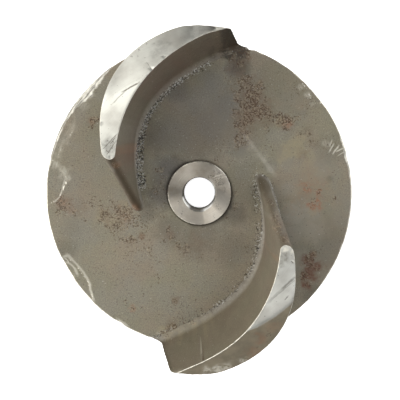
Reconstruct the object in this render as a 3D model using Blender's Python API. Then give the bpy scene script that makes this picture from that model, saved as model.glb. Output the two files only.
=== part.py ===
"""Two-vane impeller of a trash pump, one iron casting with turned faces.

The axis of rotation is +Z and the inlet side points up. The origin lies on the axis, in the
plane of the rear hub face that the casting stands on. Seen from the inlet side, each vane
starts beside the hub and sweeps outwards clockwise to the rim. Lengths are metres.
"""

import math

import bmesh
import bpy
from mathutils import Matrix, Vector

# Driving dimensions
DISC_RADIUS = 0.124
DISC_THICKNESS = 0.010
DISC_EDGE_CHAMFER = 0.001

REAR_HUB_HEIGHT = 0.018
REAR_HUB_RADIUS = 0.030
REAR_HUB_DRAFT = 0.002
REAR_HUB_FILLET = 0.005

BOSS_HEIGHT = 0.003
BOSS_RADIUS = 0.0259
BOSS_EDGE_CHAMFER = 0.0004
BOSS_DRAFT = 0.0005

BORE_RADIUS = 0.0125
BORE_CHAMFER = 0.0017
BORE_LAND = 0.0053
SHAFT_BORE_RADIUS = 0.019
SHAFT_BORE_CHAMFER = 0.001

VANE_COUNT = 2
VANE_HEIGHT = 0.063
VANE_RIM_HEIGHT = 0.049
VANE_BREAK_RADIUS = 0.0936
VANE_FILLET = 0.0055
NOSE_FILLET = 0.002
FILLET_RUN_OUT = 0.3
VANE_TOE_STEP = 0.0001
VANE_SUNK = 0.004
VANE_OVERHEIGHT = 0.004
VANE_RIM_SETBACK = 0.0001

# The four control points of each edge curve of the first vane, in plan, from its nose to
# just past the rim. The top curves bound the turned top, the foot curves bound the cast
# walls where they would meet the disc without a fillet.
INNER_TOP = ((-0.0562, 0.0332), (-0.0521, 0.0823), (-0.0138, 0.1124), (0.0242, 0.1250))
OUTER_TOP = ((-0.0657, 0.0347), (-0.0745, 0.1035), (-0.0269, 0.1249), (0.0163, 0.1294))
INNER_FOOT = ((-0.0473, -0.0104), (-0.0687, 0.0722), (-0.0290, 0.0939), (0.0342, 0.1236))
OUTER_FOOT = ((-0.0573, -0.0103), (-0.0876, 0.0757), (-0.0580, 0.1244), (0.0180, 0.1314))
NOSE_TOP = (-0.0603, 0.0293)
NOSE_FOOT = (-0.0512, -0.0138)

# Facets
TURNED_SEGMENTS = 120
WALL_STATIONS = 26
NOSE_STATIONS = 7
FILLET_ROWS = 4

# Heights that follow from the sizes above
DISC_BACK = REAR_HUB_HEIGHT
DISC_FRONT = DISC_BACK + DISC_THICKNESS
BOSS_FACE = DISC_FRONT + BOSS_HEIGHT
BORE_NECK = BOSS_FACE - BORE_CHAMFER - BORE_LAND

CAST_IRON_COLOUR = (0.19, 0.18, 0.145, 1.0)


def clear_scene():
    """Remove every object, so the script gives the same model each time it runs."""
    for old in list(bpy.data.objects):
        bpy.data.objects.remove(old, do_unlink=True)


def cast_iron_material():
    """Weathered olive-grey iron, dull and slightly metallic."""
    material = bpy.data.materials.new("cast_iron")
    material.use_nodes = True
    shader = material.node_tree.nodes["Principled BSDF"]
    shader.inputs["Base Color"].default_value = CAST_IRON_COLOUR
    shader.inputs["Metallic"].default_value = 0.6
    shader.inputs["Roughness"].default_value = 0.6
    return material


def add_object(name, mesh, guide=False):
    """Link a mesh as an object; a guide only shapes other pieces and isn't one itself."""
    piece = bpy.data.objects.new(name, mesh)
    bpy.context.collection.objects.link(piece)
    if guide:
        piece.hide_render = True
        piece.display_type = "WIRE"
    return piece


def mesh_from_rings(name, rings, closed_column=False):
    """Skin a list of rings with quads, and close the ends with flat caps or onto each other."""
    shape = bmesh.new()
    rows = [[shape.verts.new(point) for point in ring] for ring in rings]
    count = len(rows[0])
    pairs = list(zip(rows, rows[1:]))
    if closed_column:
        pairs.append((rows[-1], rows[0]))
    for low, high in pairs:
        for i in range(count):
            j = (i + 1) % count
            shape.faces.new((low[i], low[j], high[j], high[i]))
    if not closed_column:
        shape.faces.new(list(reversed(rows[0])))
        shape.faces.new(rows[-1])
    bmesh.ops.recalc_face_normals(shape, faces=shape.faces)
    mesh = bpy.data.meshes.new(name)
    shape.to_mesh(mesh)
    shape.free()
    return mesh


def turned_ring(radius, height):
    """One circle of points about the axis."""
    step = 2.0 * math.pi / TURNED_SEGMENTS
    angles = [step * i for i in range(TURNED_SEGMENTS)]
    return [Vector((radius * math.cos(a), radius * math.sin(a), height)) for a in angles]


def quarter_arc(centre, radius, start_degrees, end_degrees, steps=4):
    """Points on an arc in the half plane of radius and height, both ends included."""
    points = []
    for i in range(steps + 1):
        angle = math.radians(start_degrees + (end_degrees - start_degrees) * i / steps)
        points.append((centre[0] + radius * math.cos(angle), centre[1] + radius * math.sin(angle)))
    return points


def disc_blank_profile():
    """Half section of disc, rear hub, front boss and stepped bore, as radius and height."""
    hub_root = REAR_HUB_RADIUS + REAR_HUB_DRAFT
    fillet_centre = (hub_root + REAR_HUB_FILLET, DISC_BACK - REAR_HUB_FILLET)
    boss_root = BOSS_RADIUS + BOSS_DRAFT
    rim = DISC_RADIUS
    edge = DISC_EDGE_CHAMFER
    profile = [
        (SHAFT_BORE_RADIUS + SHAFT_BORE_CHAMFER, 0.0),
        (REAR_HUB_RADIUS, 0.0),
    ]
    profile += quarter_arc(fillet_centre, REAR_HUB_FILLET, 180.0, 90.0)
    profile += [
        (rim - edge, DISC_BACK),
        (rim, DISC_BACK + edge),
        (rim, DISC_FRONT - edge),
        (rim - edge, DISC_FRONT),
        (boss_root, DISC_FRONT),
        (BOSS_RADIUS, BOSS_FACE - BOSS_EDGE_CHAMFER),
        (BOSS_RADIUS - BOSS_EDGE_CHAMFER, BOSS_FACE),
        (BORE_RADIUS + BORE_CHAMFER, BOSS_FACE),
        (BORE_RADIUS, BOSS_FACE - BORE_CHAMFER),
        (BORE_RADIUS, BORE_NECK),
        (SHAFT_BORE_RADIUS, BORE_NECK),
        (SHAFT_BORE_RADIUS, SHAFT_BORE_CHAMFER),
    ]
    return profile


def disc_blank():
    """The turned body of the casting, before the vanes are joined to it."""
    rings = [turned_ring(radius, height) for radius, height in disc_blank_profile()]
    return add_object("impeller_casting", mesh_from_rings("impeller_casting", rings, True))


def turning_envelope():
    """What the lathe leaves of the vanes: a flat top that falls as a cone to the rim."""
    rim = DISC_RADIUS - VANE_RIM_SETBACK
    below = DISC_BACK + 0.5 * DISC_THICKNESS
    inner = 0.5 * BOSS_RADIUS
    profile = [
        (inner, below),
        (rim, below),
        (rim, DISC_FRONT + VANE_RIM_HEIGHT),
        (VANE_BREAK_RADIUS, DISC_FRONT + VANE_HEIGHT),
        (inner, DISC_FRONT + VANE_HEIGHT),
    ]
    rings = [turned_ring(radius, height) for radius, height in profile]
    return add_object("turning_envelope", mesh_from_rings("turning_envelope", rings, True), True)


def curve_point(controls, share):
    """Point on the cubic curve of four control points, with share from 0 to 1."""
    rest = 1.0 - share
    weights = (rest**3, 3 * rest**2 * share, 3 * rest * share**2, share**3)
    return sum((w * Vector(c) for w, c in zip(weights, controls)), Vector((0.0, 0.0)))


def direction(controls):
    """Unit direction in which a curve leaves its first point."""
    return (Vector(controls[1]) - Vector(controls[0])).normalized()


def nose_curve(inner, outer, tip):
    """Controls of the rounded nose from the inner wall's start to the outer wall's."""
    start = Vector(inner[0])
    end = Vector(outer[0])
    lean = direction(inner) + direction(outer)
    reach = (Vector(tip) - (start + end) / 2.0).length * 8.0 / (3.0 * lean.length)
    return start, start - direction(inner) * reach, end - direction(outer) * reach, end


def outline(inner, outer, tip):
    """Closed plan outline: in along the inner wall, round the nose, out along the outer wall."""
    wall = [i / (WALL_STATIONS - 1) for i in range(WALL_STATIONS)]
    nose = [i / (NOSE_STATIONS + 1) for i in range(1, NOSE_STATIONS + 1)]
    points = [curve_point(inner, 1.0 - share) for share in wall]
    points += [curve_point(nose_curve(inner, outer, tip), share) for share in nose]
    points += [curve_point(outer, share) for share in wall]
    return points


def top_height(point):
    """Height of the turned vane top above the disc face, at a point in plan."""
    slope = (VANE_HEIGHT - VANE_RIM_HEIGHT) / (DISC_RADIUS - VANE_BREAK_RADIUS)
    return VANE_HEIGHT - slope * max(0.0, point.length - VANE_BREAK_RADIUS)


def outward(points, index):
    """Unit normal of a closed plan outline at one point, pointing out of the vane."""
    along = points[(index + 1) % len(points)] - points[index - 1]
    return Vector((-along.y, along.x)).normalized()


def fillet_radii():
    """Radius of the root fillet at each point of the outline: small round the nose."""
    wall = []
    for i in range(WALL_STATIONS):
        share = min(1.0, i / (WALL_STATIONS - 1) / FILLET_RUN_OUT)
        grown = share * share * (3.0 - 2.0 * share)
        wall.append(NOSE_FILLET + (VANE_FILLET - NOSE_FILLET) * grown)
    return list(reversed(wall)) + [NOSE_FILLET] * NOSE_STATIONS + wall


def fillet_flare(height, radius):
    """How far the root fillet stands out from the wall at a height above the disc face."""
    below_crest = radius - min(height, radius)
    return radius - math.sqrt(radius**2 - below_crest**2)


def vane_levels():
    """Heights of the vane's sections above the disc face: sunk foot, fillet, then the top."""
    levels = [-VANE_SUNK, VANE_TOE_STEP]
    for i in range(1, FILLET_ROWS + 1):
        levels.append(VANE_FILLET * (1.0 - math.cos(math.radians(90.0 * i / FILLET_ROWS))))
    levels.append(VANE_HEIGHT + VANE_OVERHEIGHT)
    return levels


def vane_rings():
    """Level sections of one vane: each wall is ruled from its foot curve to its top curve."""
    foot = outline(INNER_FOOT, OUTER_FOOT, NOSE_FOOT)
    top = outline(INNER_TOP, OUTER_TOP, NOSE_TOP)
    radii = fillet_radii()
    rings = []
    for level in vane_levels():
        height = max(level, VANE_TOE_STEP)
        section = [f + (t - f) * (height / top_height(t)) for f, t in zip(foot, top)]
        ring = []
        for i, point in enumerate(section):
            moved = point + outward(section, i) * fillet_flare(height, radii[i])
            ring.append(Vector((moved.x, moved.y, DISC_FRONT + level)))
        rings.append(ring)
    return rings


def vane(index, envelope):
    """One vane, turned to its place and trimmed to the turning envelope."""
    name = f"vane_{index + 1}"
    mesh = mesh_from_rings(name, vane_rings())
    mesh.transform(Matrix.Rotation(2.0 * math.pi * index / VANE_COUNT, 4, "Z"))
    piece = add_object(name, mesh, True)
    trim = piece.modifiers.new("turned_outside", "BOOLEAN")
    trim.operation = "INTERSECT"
    trim.solver = "EXACT"
    trim.object = envelope
    return piece


def impeller():
    """The whole casting: the turned body with both vanes joined to it."""
    casting = disc_blank()
    envelope = turning_envelope()
    for index in range(VANE_COUNT):
        join = casting.modifiers.new(f"vane_{index + 1}", "BOOLEAN")
        join.operation = "UNION"
        join.solver = "EXACT"
        join.object = vane(index, envelope)
    casting.data.materials.append(cast_iron_material())
    casting.data.shade_smooth()
    casting.data.set_sharp_from_angle(angle=math.radians(30.0))
    return casting


clear_scene()
impeller()
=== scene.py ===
import math
from functools import wraps
from itertools import product

import bmesh
import bpy
import numpy as np
from bpy.props import FloatProperty, FloatVectorProperty, PointerProperty
from bpy.types import Operator, Panel, PropertyGroup
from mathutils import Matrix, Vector


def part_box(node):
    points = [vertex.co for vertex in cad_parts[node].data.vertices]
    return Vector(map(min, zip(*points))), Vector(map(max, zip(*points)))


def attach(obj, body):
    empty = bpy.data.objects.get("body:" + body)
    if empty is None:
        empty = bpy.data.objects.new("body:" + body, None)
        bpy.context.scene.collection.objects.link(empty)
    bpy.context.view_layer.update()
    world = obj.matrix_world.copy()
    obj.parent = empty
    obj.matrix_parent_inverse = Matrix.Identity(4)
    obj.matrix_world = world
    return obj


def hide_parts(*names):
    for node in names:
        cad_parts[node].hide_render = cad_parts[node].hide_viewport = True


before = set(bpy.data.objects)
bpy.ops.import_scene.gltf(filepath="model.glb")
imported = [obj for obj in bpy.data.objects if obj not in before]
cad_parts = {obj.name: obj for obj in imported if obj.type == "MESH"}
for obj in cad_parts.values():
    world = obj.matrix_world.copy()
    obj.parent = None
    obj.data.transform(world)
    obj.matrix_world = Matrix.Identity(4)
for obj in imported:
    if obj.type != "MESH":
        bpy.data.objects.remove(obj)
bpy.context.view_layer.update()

# Worn two-vane impeller of a trash pump: the cast disc, its turned hub and its two vanes are
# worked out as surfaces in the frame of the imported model, in metres. The axis of rotation is
# +Z and the inlet side points up. Marks are placed in plan, in millimetres, seen from +Z.

bl_info = {
    "name": "Trash pump impeller",
    "version": (1, 0, 0),
    "blender": (4, 5, 0),
    "location": "3D View > Sidebar > Impeller",
    "description": "Builds a worn cast pump impeller with turned faces, and its studio",
    "category": "Add Mesh",
}

CASTING_NODE = "impeller_casting"
ROOT_BODY = "root"
CASTING_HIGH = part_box(CASTING_NODE)[1]
MM = 0.001
TURN = 2.0 * math.pi
QUARTER = 0.5 * math.pi

# Panel values: label and description, then metres, or a colour as seen on a screen.
SIZES = {
    "disc_radius": ("Disc radius", "Radius of the disc at its rim", CASTING_HIGH.x),
    "disc_front": ("Disc front", "Height of the disc's front face above the rear hub face", 0.028),
    "disc_back": ("Disc back", "Height of the disc's back above the rear hub face", 0.018),
    "vane_height": (
        "Vane height", "Height of the vanes above the disc at the flat tops",
        CASTING_HIGH.z - 0.028),
    "rim_height": (
        "Vane height at the rim", "Height of the vanes above the disc at the rim",
        0.049),
    "break_radius": ("Break radius", "Radius at which the tops turn from flat to cone", 0.0936),
    "break_width": ("Break width", "How softly the tops turn from flat to cone", 0.0022),
    "root_fillet": ("Root fillet", "Radius of the fillet at the foot of the vanes", 0.0055),
    "nose_fillet": ("Nose fillet", "Radius of the fillet at the foot of the noses", 0.002),
    "hub_radius": ("Hub radius", "Radius of the turned hub face", 0.0256),
    "hub_face": ("Hub face", "Height of the hub face above the rear hub face", 0.031),
    "hole_radius": ("Hole radius", "Radius of the hole in the hub face", 0.0125),
    "shaft_radius": ("Shaft bore radius", "Radius of the bore for the pump shaft", 0.019),
    "rear_radius": ("Rear hub radius", "Radius of the rear hub at its face", 0.030),
    "rear_fillet": ("Rear hub fillet", "Radius of the fillet between disc and rear hub", 0.005),
}
COLOURS = {
    "iron": ("Iron", "Olive skin of the disc", 129, 124, 105),
    "iron_warm": ("Warm iron", "Browner skin of the disc", 134, 124, 107),
    "iron_grey": ("Grey iron", "Greyer skin of the disc", 130, 127, 115),
    "iron_dark": ("Dark iron", "Darker parts of the disc", 88, 82, 70),
    "wall": ("Vane wall", "Skin of the vanes' walls", 109, 102, 86),
    "wall_warm": ("Warm vane wall", "Browner skin of the vanes' walls", 108, 96, 82),
    "wall_red": ("Reddish vane wall", "Reddish skin of the vanes' walls", 120, 98, 86),
    # The fillet colour is paler skin with painted light where the fillets face up.
    "fillet": ("Fillet", "Skin of the root fillets", 134, 129, 118),
    # The nose colour is dark skin, with painted shade along the nose's crease and in its foot
    # recess.
    "nose": ("Nose", "Dark skin of the vanes' noses", 72, 60, 44),
    "pit": ("Pit", "Inside of small pits", 62, 54, 42),
    "soot": ("Toe pit", "Pits along the foot of a vane", 22, 19, 15),
    # Painted shade with a cooler tint.
    "cool_shade": ("Slate", "Cooler grey places on the iron", 104, 103, 101),
    "olive": ("Olive wall", "Greener places on a wall", 110, 104, 84),
    # Dirt and painted shade in the gap round the hub face.
    "gap": ("Gap", "Dark gap round the hub face", 40, 33, 25),
    # Dark crust, and painted shade under the first vane's wall at its end.
    "crust_and_shade": ("Sooty", "Dark crust at the end of a vane", 48, 43, 35),
    "rust_dark": ("Scale", "Dark curls of rust scale", 76, 57, 39),
    "flake": ("Flakes", "Pale crumbs between the scale", 154, 139, 114),
    "rust_brown": ("Brown rust", "Brown rust stain", 106, 84, 66),
    "rust_red": ("Red rust", "Red rust stain", 150, 105, 78),
    "rust_deep": ("Deep rust", "Dark red rust stain", 104, 72, 56),
    "ochre": ("Ochre", "Pale yellowish stain", 152, 141, 112),
    "bright": ("Bare metal", "Worn edges and scuffs", 228, 224, 211),
    "ground": ("Ground rim", "Ground bevel of the rim", 224, 221, 211),
    "ground_dark": ("Ground rim streaks", "Streaks in the ground bevel", 106, 102, 92),
    "pale": ("Pale skin", "Rubbed places near the rim", 186, 182, 168),
    "crumb": ("Crumbs", "Pale crumbs along the foot of a vane", 188, 188, 182),
    "turned": ("Turned top", "Turned tops of the vanes", 221, 221, 213),
    "turned_dull": ("Dull turned top", "Duller parts of the turned tops", 192, 190, 182),
    "stain": ("Stain", "Stains on the turned tops", 96, 92, 84),
    "cone_stain": ("Rim stain", "Brown stain of the lower cone", 130, 121, 102),
    "score": ("Score", "Dark scratches on the turned tops", 104, 98, 88),
    "hub": ("Hub face", "Turned hub face", 203, 197, 186),
    "hub_dull": ("Dull hub face", "Duller parts of the hub face", 185, 177, 165),
    "hub_stain": ("Hub stain", "Brownish smudges on the hub face", 150, 138, 120),
    # Painted shade and painted glints on the hole's wall and chamfer.
    "hole_dark": ("Dark chamfer", "Dark parts of the hole and its chamfer", 64, 58, 46),
    "painted_glint": ("Chamfer", "Bright parts of the hole's chamfer", 250, 250, 246),
    "floor": ("Floor", "Pale studio floor", 246, 246, 246),
}

# Fixed shape of the vanes in plan, in metres: the four control points of each edge curve of
# the first vane, from its nose to just past the rim.
INNER_TOP = ((-0.0562, 0.0332), (-0.0521, 0.0823), (-0.0138, 0.1124), (0.0242, 0.125))
OUTER_TOP = ((-0.0657, 0.0347), (-0.0745, 0.1035), (-0.0269, 0.1249), (0.0163, 0.1294))
INNER_FOOT = ((-0.0472, -0.0092), (-0.0687, 0.0722), (-0.029, 0.0939), (0.0342, 0.1236))
OUTER_FOOT = ((-0.0564, -0.008), (-0.0876, 0.0757), (-0.058, 0.1244), (0.018, 0.1314))
NOSE_TOP = (-0.0603, 0.0293)
NOSE_FOOT = (-0.0512, -0.0138)

# How far the inner wall of each vane's end is swept on: share of the height and degrees. The
# sweep starts at this radius at the foot, and further out by the rise above it.
END_SWEEPS = (
    ((0, 1.2), (0.5, 1.3), (1, 1.7)), ((0, 0.9), (0.5, 0.5), (0.93, 0.1), (0.97, -0.4), (1, -1)),
)
SWEEP_START = 106.0 * MM
SWEEP_RISE = 10.0 * MM
SWEEP_END = 125.0 * MM

# How deep a vane's foot is sunk in the disc, and how far its end stands over the rim.
VANE_SUNK = 3.0 * MM
VANE_OVER_RIM = 0.9 * MM
# Points of a vane's rows along each wall, round the nose and across the rim, and the denser
# points that they are taken from.
WALL_STEPS = 210
NOSE_STEPS = 25
ACROSS_STEPS = 15
DENSE_WALL = 500
DENSE_NOSE = 60
# Nicks along the top edges of the vanes: plan place, radius and depth in millimetres.
VANE_NICKS = (
    (-31.5, 91.4, 1.5, 0.7), (-22.8, 100.1, 1.4, 0.6), (-65.8, 53.4, 1, 0.4),
    (-34.3, 95.6, 0.8, 0.3), (10, 117.5, 1.3, 0.7), (17.3, 120.4, 1.6, 0.8), (4, 113.2, 1.1, 0.5),
    (24.2, -96.9, 1.3, -0.5), (64.6, -40.3, 0.9, 0.4), (66.2, -52, 1.2, 0.4), (13, 119, 1.6, 0.6),
    (22.7, 122.4, 2.4, 1.4), (-59.7, 30.6, 1.2, 0.4), (60.2, -30, 1.3, 0.4),
)

DISC_COLUMNS = 640
HUB_COLUMNS = 360
# Depth over width of the rim's ground bevel and of the hole's chamfer.
BEVEL_FALL = 0.35
CHAMFER_FALL = 0.62
# Tables by angle in degrees. Width of the rim's ground bevel, in millimetres.
GROUND_BEVEL = (
    (0, 1.7), (8, 2.1), (14, 2.6), (20, 2), (25, 1.2), (30, 0), (119, 0), (122, 0.7), (126.5, 1.4),
    (128.5, 3.4), (131, 5.6), (134, 6.9), (137, 7.4), (141, 7), (144, 6), (146.5, 4.4), (150, 3.2),
    (154, 3.2), (157, 2.8), (161, 3.4), (165, 2.8), (168, 2), (172, 1), (176, 0), (316, 0),
    (326, 1.3), (340, 1.6), (360, 1.7),
)
# How far the worn rim stands out past the true circle, in millimetres.
RIM_SWELL = (
    (0, 0.5), (45, 0.4), (90, 0.7), (119, 0.8), (128, 1.4), (150, 1.4), (172, 1.2), (200, 0.8),
    (245, 0.8), (300, 0.6), (360, 0.5),
)
# How brightly the rim's edge is worn.
RIM_SHINE = (
    (0, 1), (26, 0.9), (34, 0.45), (60, 0.3), (100, 0.4), (117, 0.1), (172, 0.1), (178, 0.6),
    (188, 0.8), (245, 0.8), (262, 0.5), (300, 0.3), (322, 0.2), (330, 0.8), (340, 1), (360, 1),
)
# Small flats knocked into the rim, in millimetres.
RIM_FLATS = (
    (10, 0), (12.8, 0.5), (14.2, 0.2), (16, 0), (31, 0), (35, 0.5), (43, 0.5), (48, 0), (69, 0),
    (70.5, 1.5), (71.5, 0.4), (72.5, 2), (74, 0.8), (75.5, 1.7), (77.5, 0.2), (80, 0), (236, 0),
    (239, 0.6), (242, 0), (251.5, 0), (253.5, 1.3), (255, 0.7), (257, 0),
)
# Chips broken out of the rim: how deep the chip is, how wide its broken edge is and how bright
# that edge has worn, then the edge's line as angle and radius in millimetres.
RIM_CHIPS = (
    (0.9, 2.4, 0.4, (
        (204.6, 124.5), (205.6, 121.5), (208, 116.6), (211, 115.2), (214.5, 115), (218, 115.2),
        (221, 116.6), (223.5, 119.6), (225.8, 124.5),
    )),
    (0.7, 1.6, 0.4, (
        (205.9, 124.5), (207, 121), (210, 119.3), (212.6, 119.6), (214.6, 124.5),
    )),
    (0.5, 1.5, 0.5, (
        (167, 124.5), (168.4, 118.6), (170.6, 112.7), (173.7, 107.9), (176.4, 108.8),
        (178.9, 110.3), (181.8, 113.7), (183.7, 119.5), (185, 124.5),
    )),
    (0.3, 2.6, 0.3, (
        (146, 124.5), (149, 117), (152.5, 114.6), (156, 114.2), (161.5, 117.2), (166, 117.8),
        (169.5, 124.5),
    )),
    (0.8, 0.9, 1.0, ((236.2, 124.5), (238, 122), (239.6, 122.4), (240.6, 124.5))),
    (0.8, 0.9, 0.8, ((11.8, 124.5), (12.8, 121.6), (14, 121), (15.6, 124.5))),
    (0.4, 2.2, 0.5, (
        (35.5, 124.5), (37.5, 118.4), (40, 117.8), (43, 120), (46.5, 121.6), (50, 124.5),
    )),
    (0.9, 0.9, 1.0, ((251.8, 124.5), (253.4, 120.8), (255, 121), (256.4, 124.5))),
)
# Width of the dark band round the turned hub face, in millimetres: dirt and painted shade at the
# foot of the boss, wider where shade falls.
HUB_GAP_DIRT_AND_SHADE = (
    (0, 1.6), (15, 1.2), (30, 0.5), (60, 0.4), (85, 0.5), (100, 0.9), (130, 2.4), (160, 2.6),
    (185, 1.4), (200, 0.6), (225, 0.6), (245, 1.2), (270, 1.8), (300, 2.2), (330, 2.6), (350, 2.2),
    (360, 1.6),
)
# Extra bright places along the edge of the hub face: wear, and painted glints where the edge
# catches the light.
HUB_EDGE_WEAR_AND_GLINTS = (
    (0, 0.1), (8, 0.1), (12, 0.9), (18, 0.5), (21, 0.1), (42, 0.3), (50, 1), (60, 0.9), (66, 0.1),
    (195, 0), (215, 0.4), (240, 0.1), (280, 0.2), (300, 0.5), (320, 0.2), (360, 0.1),
)
# Width of the hole's uneven chamfer, in millimetres.
CHAMFER_WIDTH = (
    (0, 0.8), (20, 0.9), (45, 1), (70, 0.7), (100, 0.6), (130, 0.8), (150, 1.1), (180, 1.5),
    (205, 1.9), (225, 2.1), (240, 2.5), (258, 2.9), (275, 2.9), (290, 2.5), (308, 1.9), (325, 1.5),
    (345, 0.9), (360, 0.8),
)
# Painted highlights and painted shade on the hole's chamfer, by angle: glints where it would catch
# the light, shade elsewhere.
CHAMFER_PAINTED_GLINT = (
    (0, 0.2), (15, 0.3), (20, 0.6), (35, 0.7), (50, 0.5), (58, 0.3), (70, 0.2), (100, 0.2),
    (140, 0.1), (190, 0.08), (195, 0.6), (199, 1), (228, 1), (234, 0.5), (240, 0.12), (272, 0.12),
    (280, 0.3), (288, 0.8), (312, 0.85), (322, 0.4), (330, 0.2), (345, 0.12), (360, 0.2),
)
# Painted sheen of the hub face by angle: lighter and darker sectors that stand for the light its
# tool marks catch.
HUB_PAINTED_SHEEN = (
    (0, 1), (20, 1), (50, 0.92), (75, 0.84), (95, 0.88), (120, 0.86), (150, 0.79), (180, 0.71),
    (195, 0.82), (205, 0.97), (222, 0.99), (232, 0.94), (262, 0.97), (277.5, 1.02), (281.5, 1.34),
    (300, 1.42), (313, 1.36), (319, 1.06), (340, 0.95), (360, 1),
)
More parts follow.
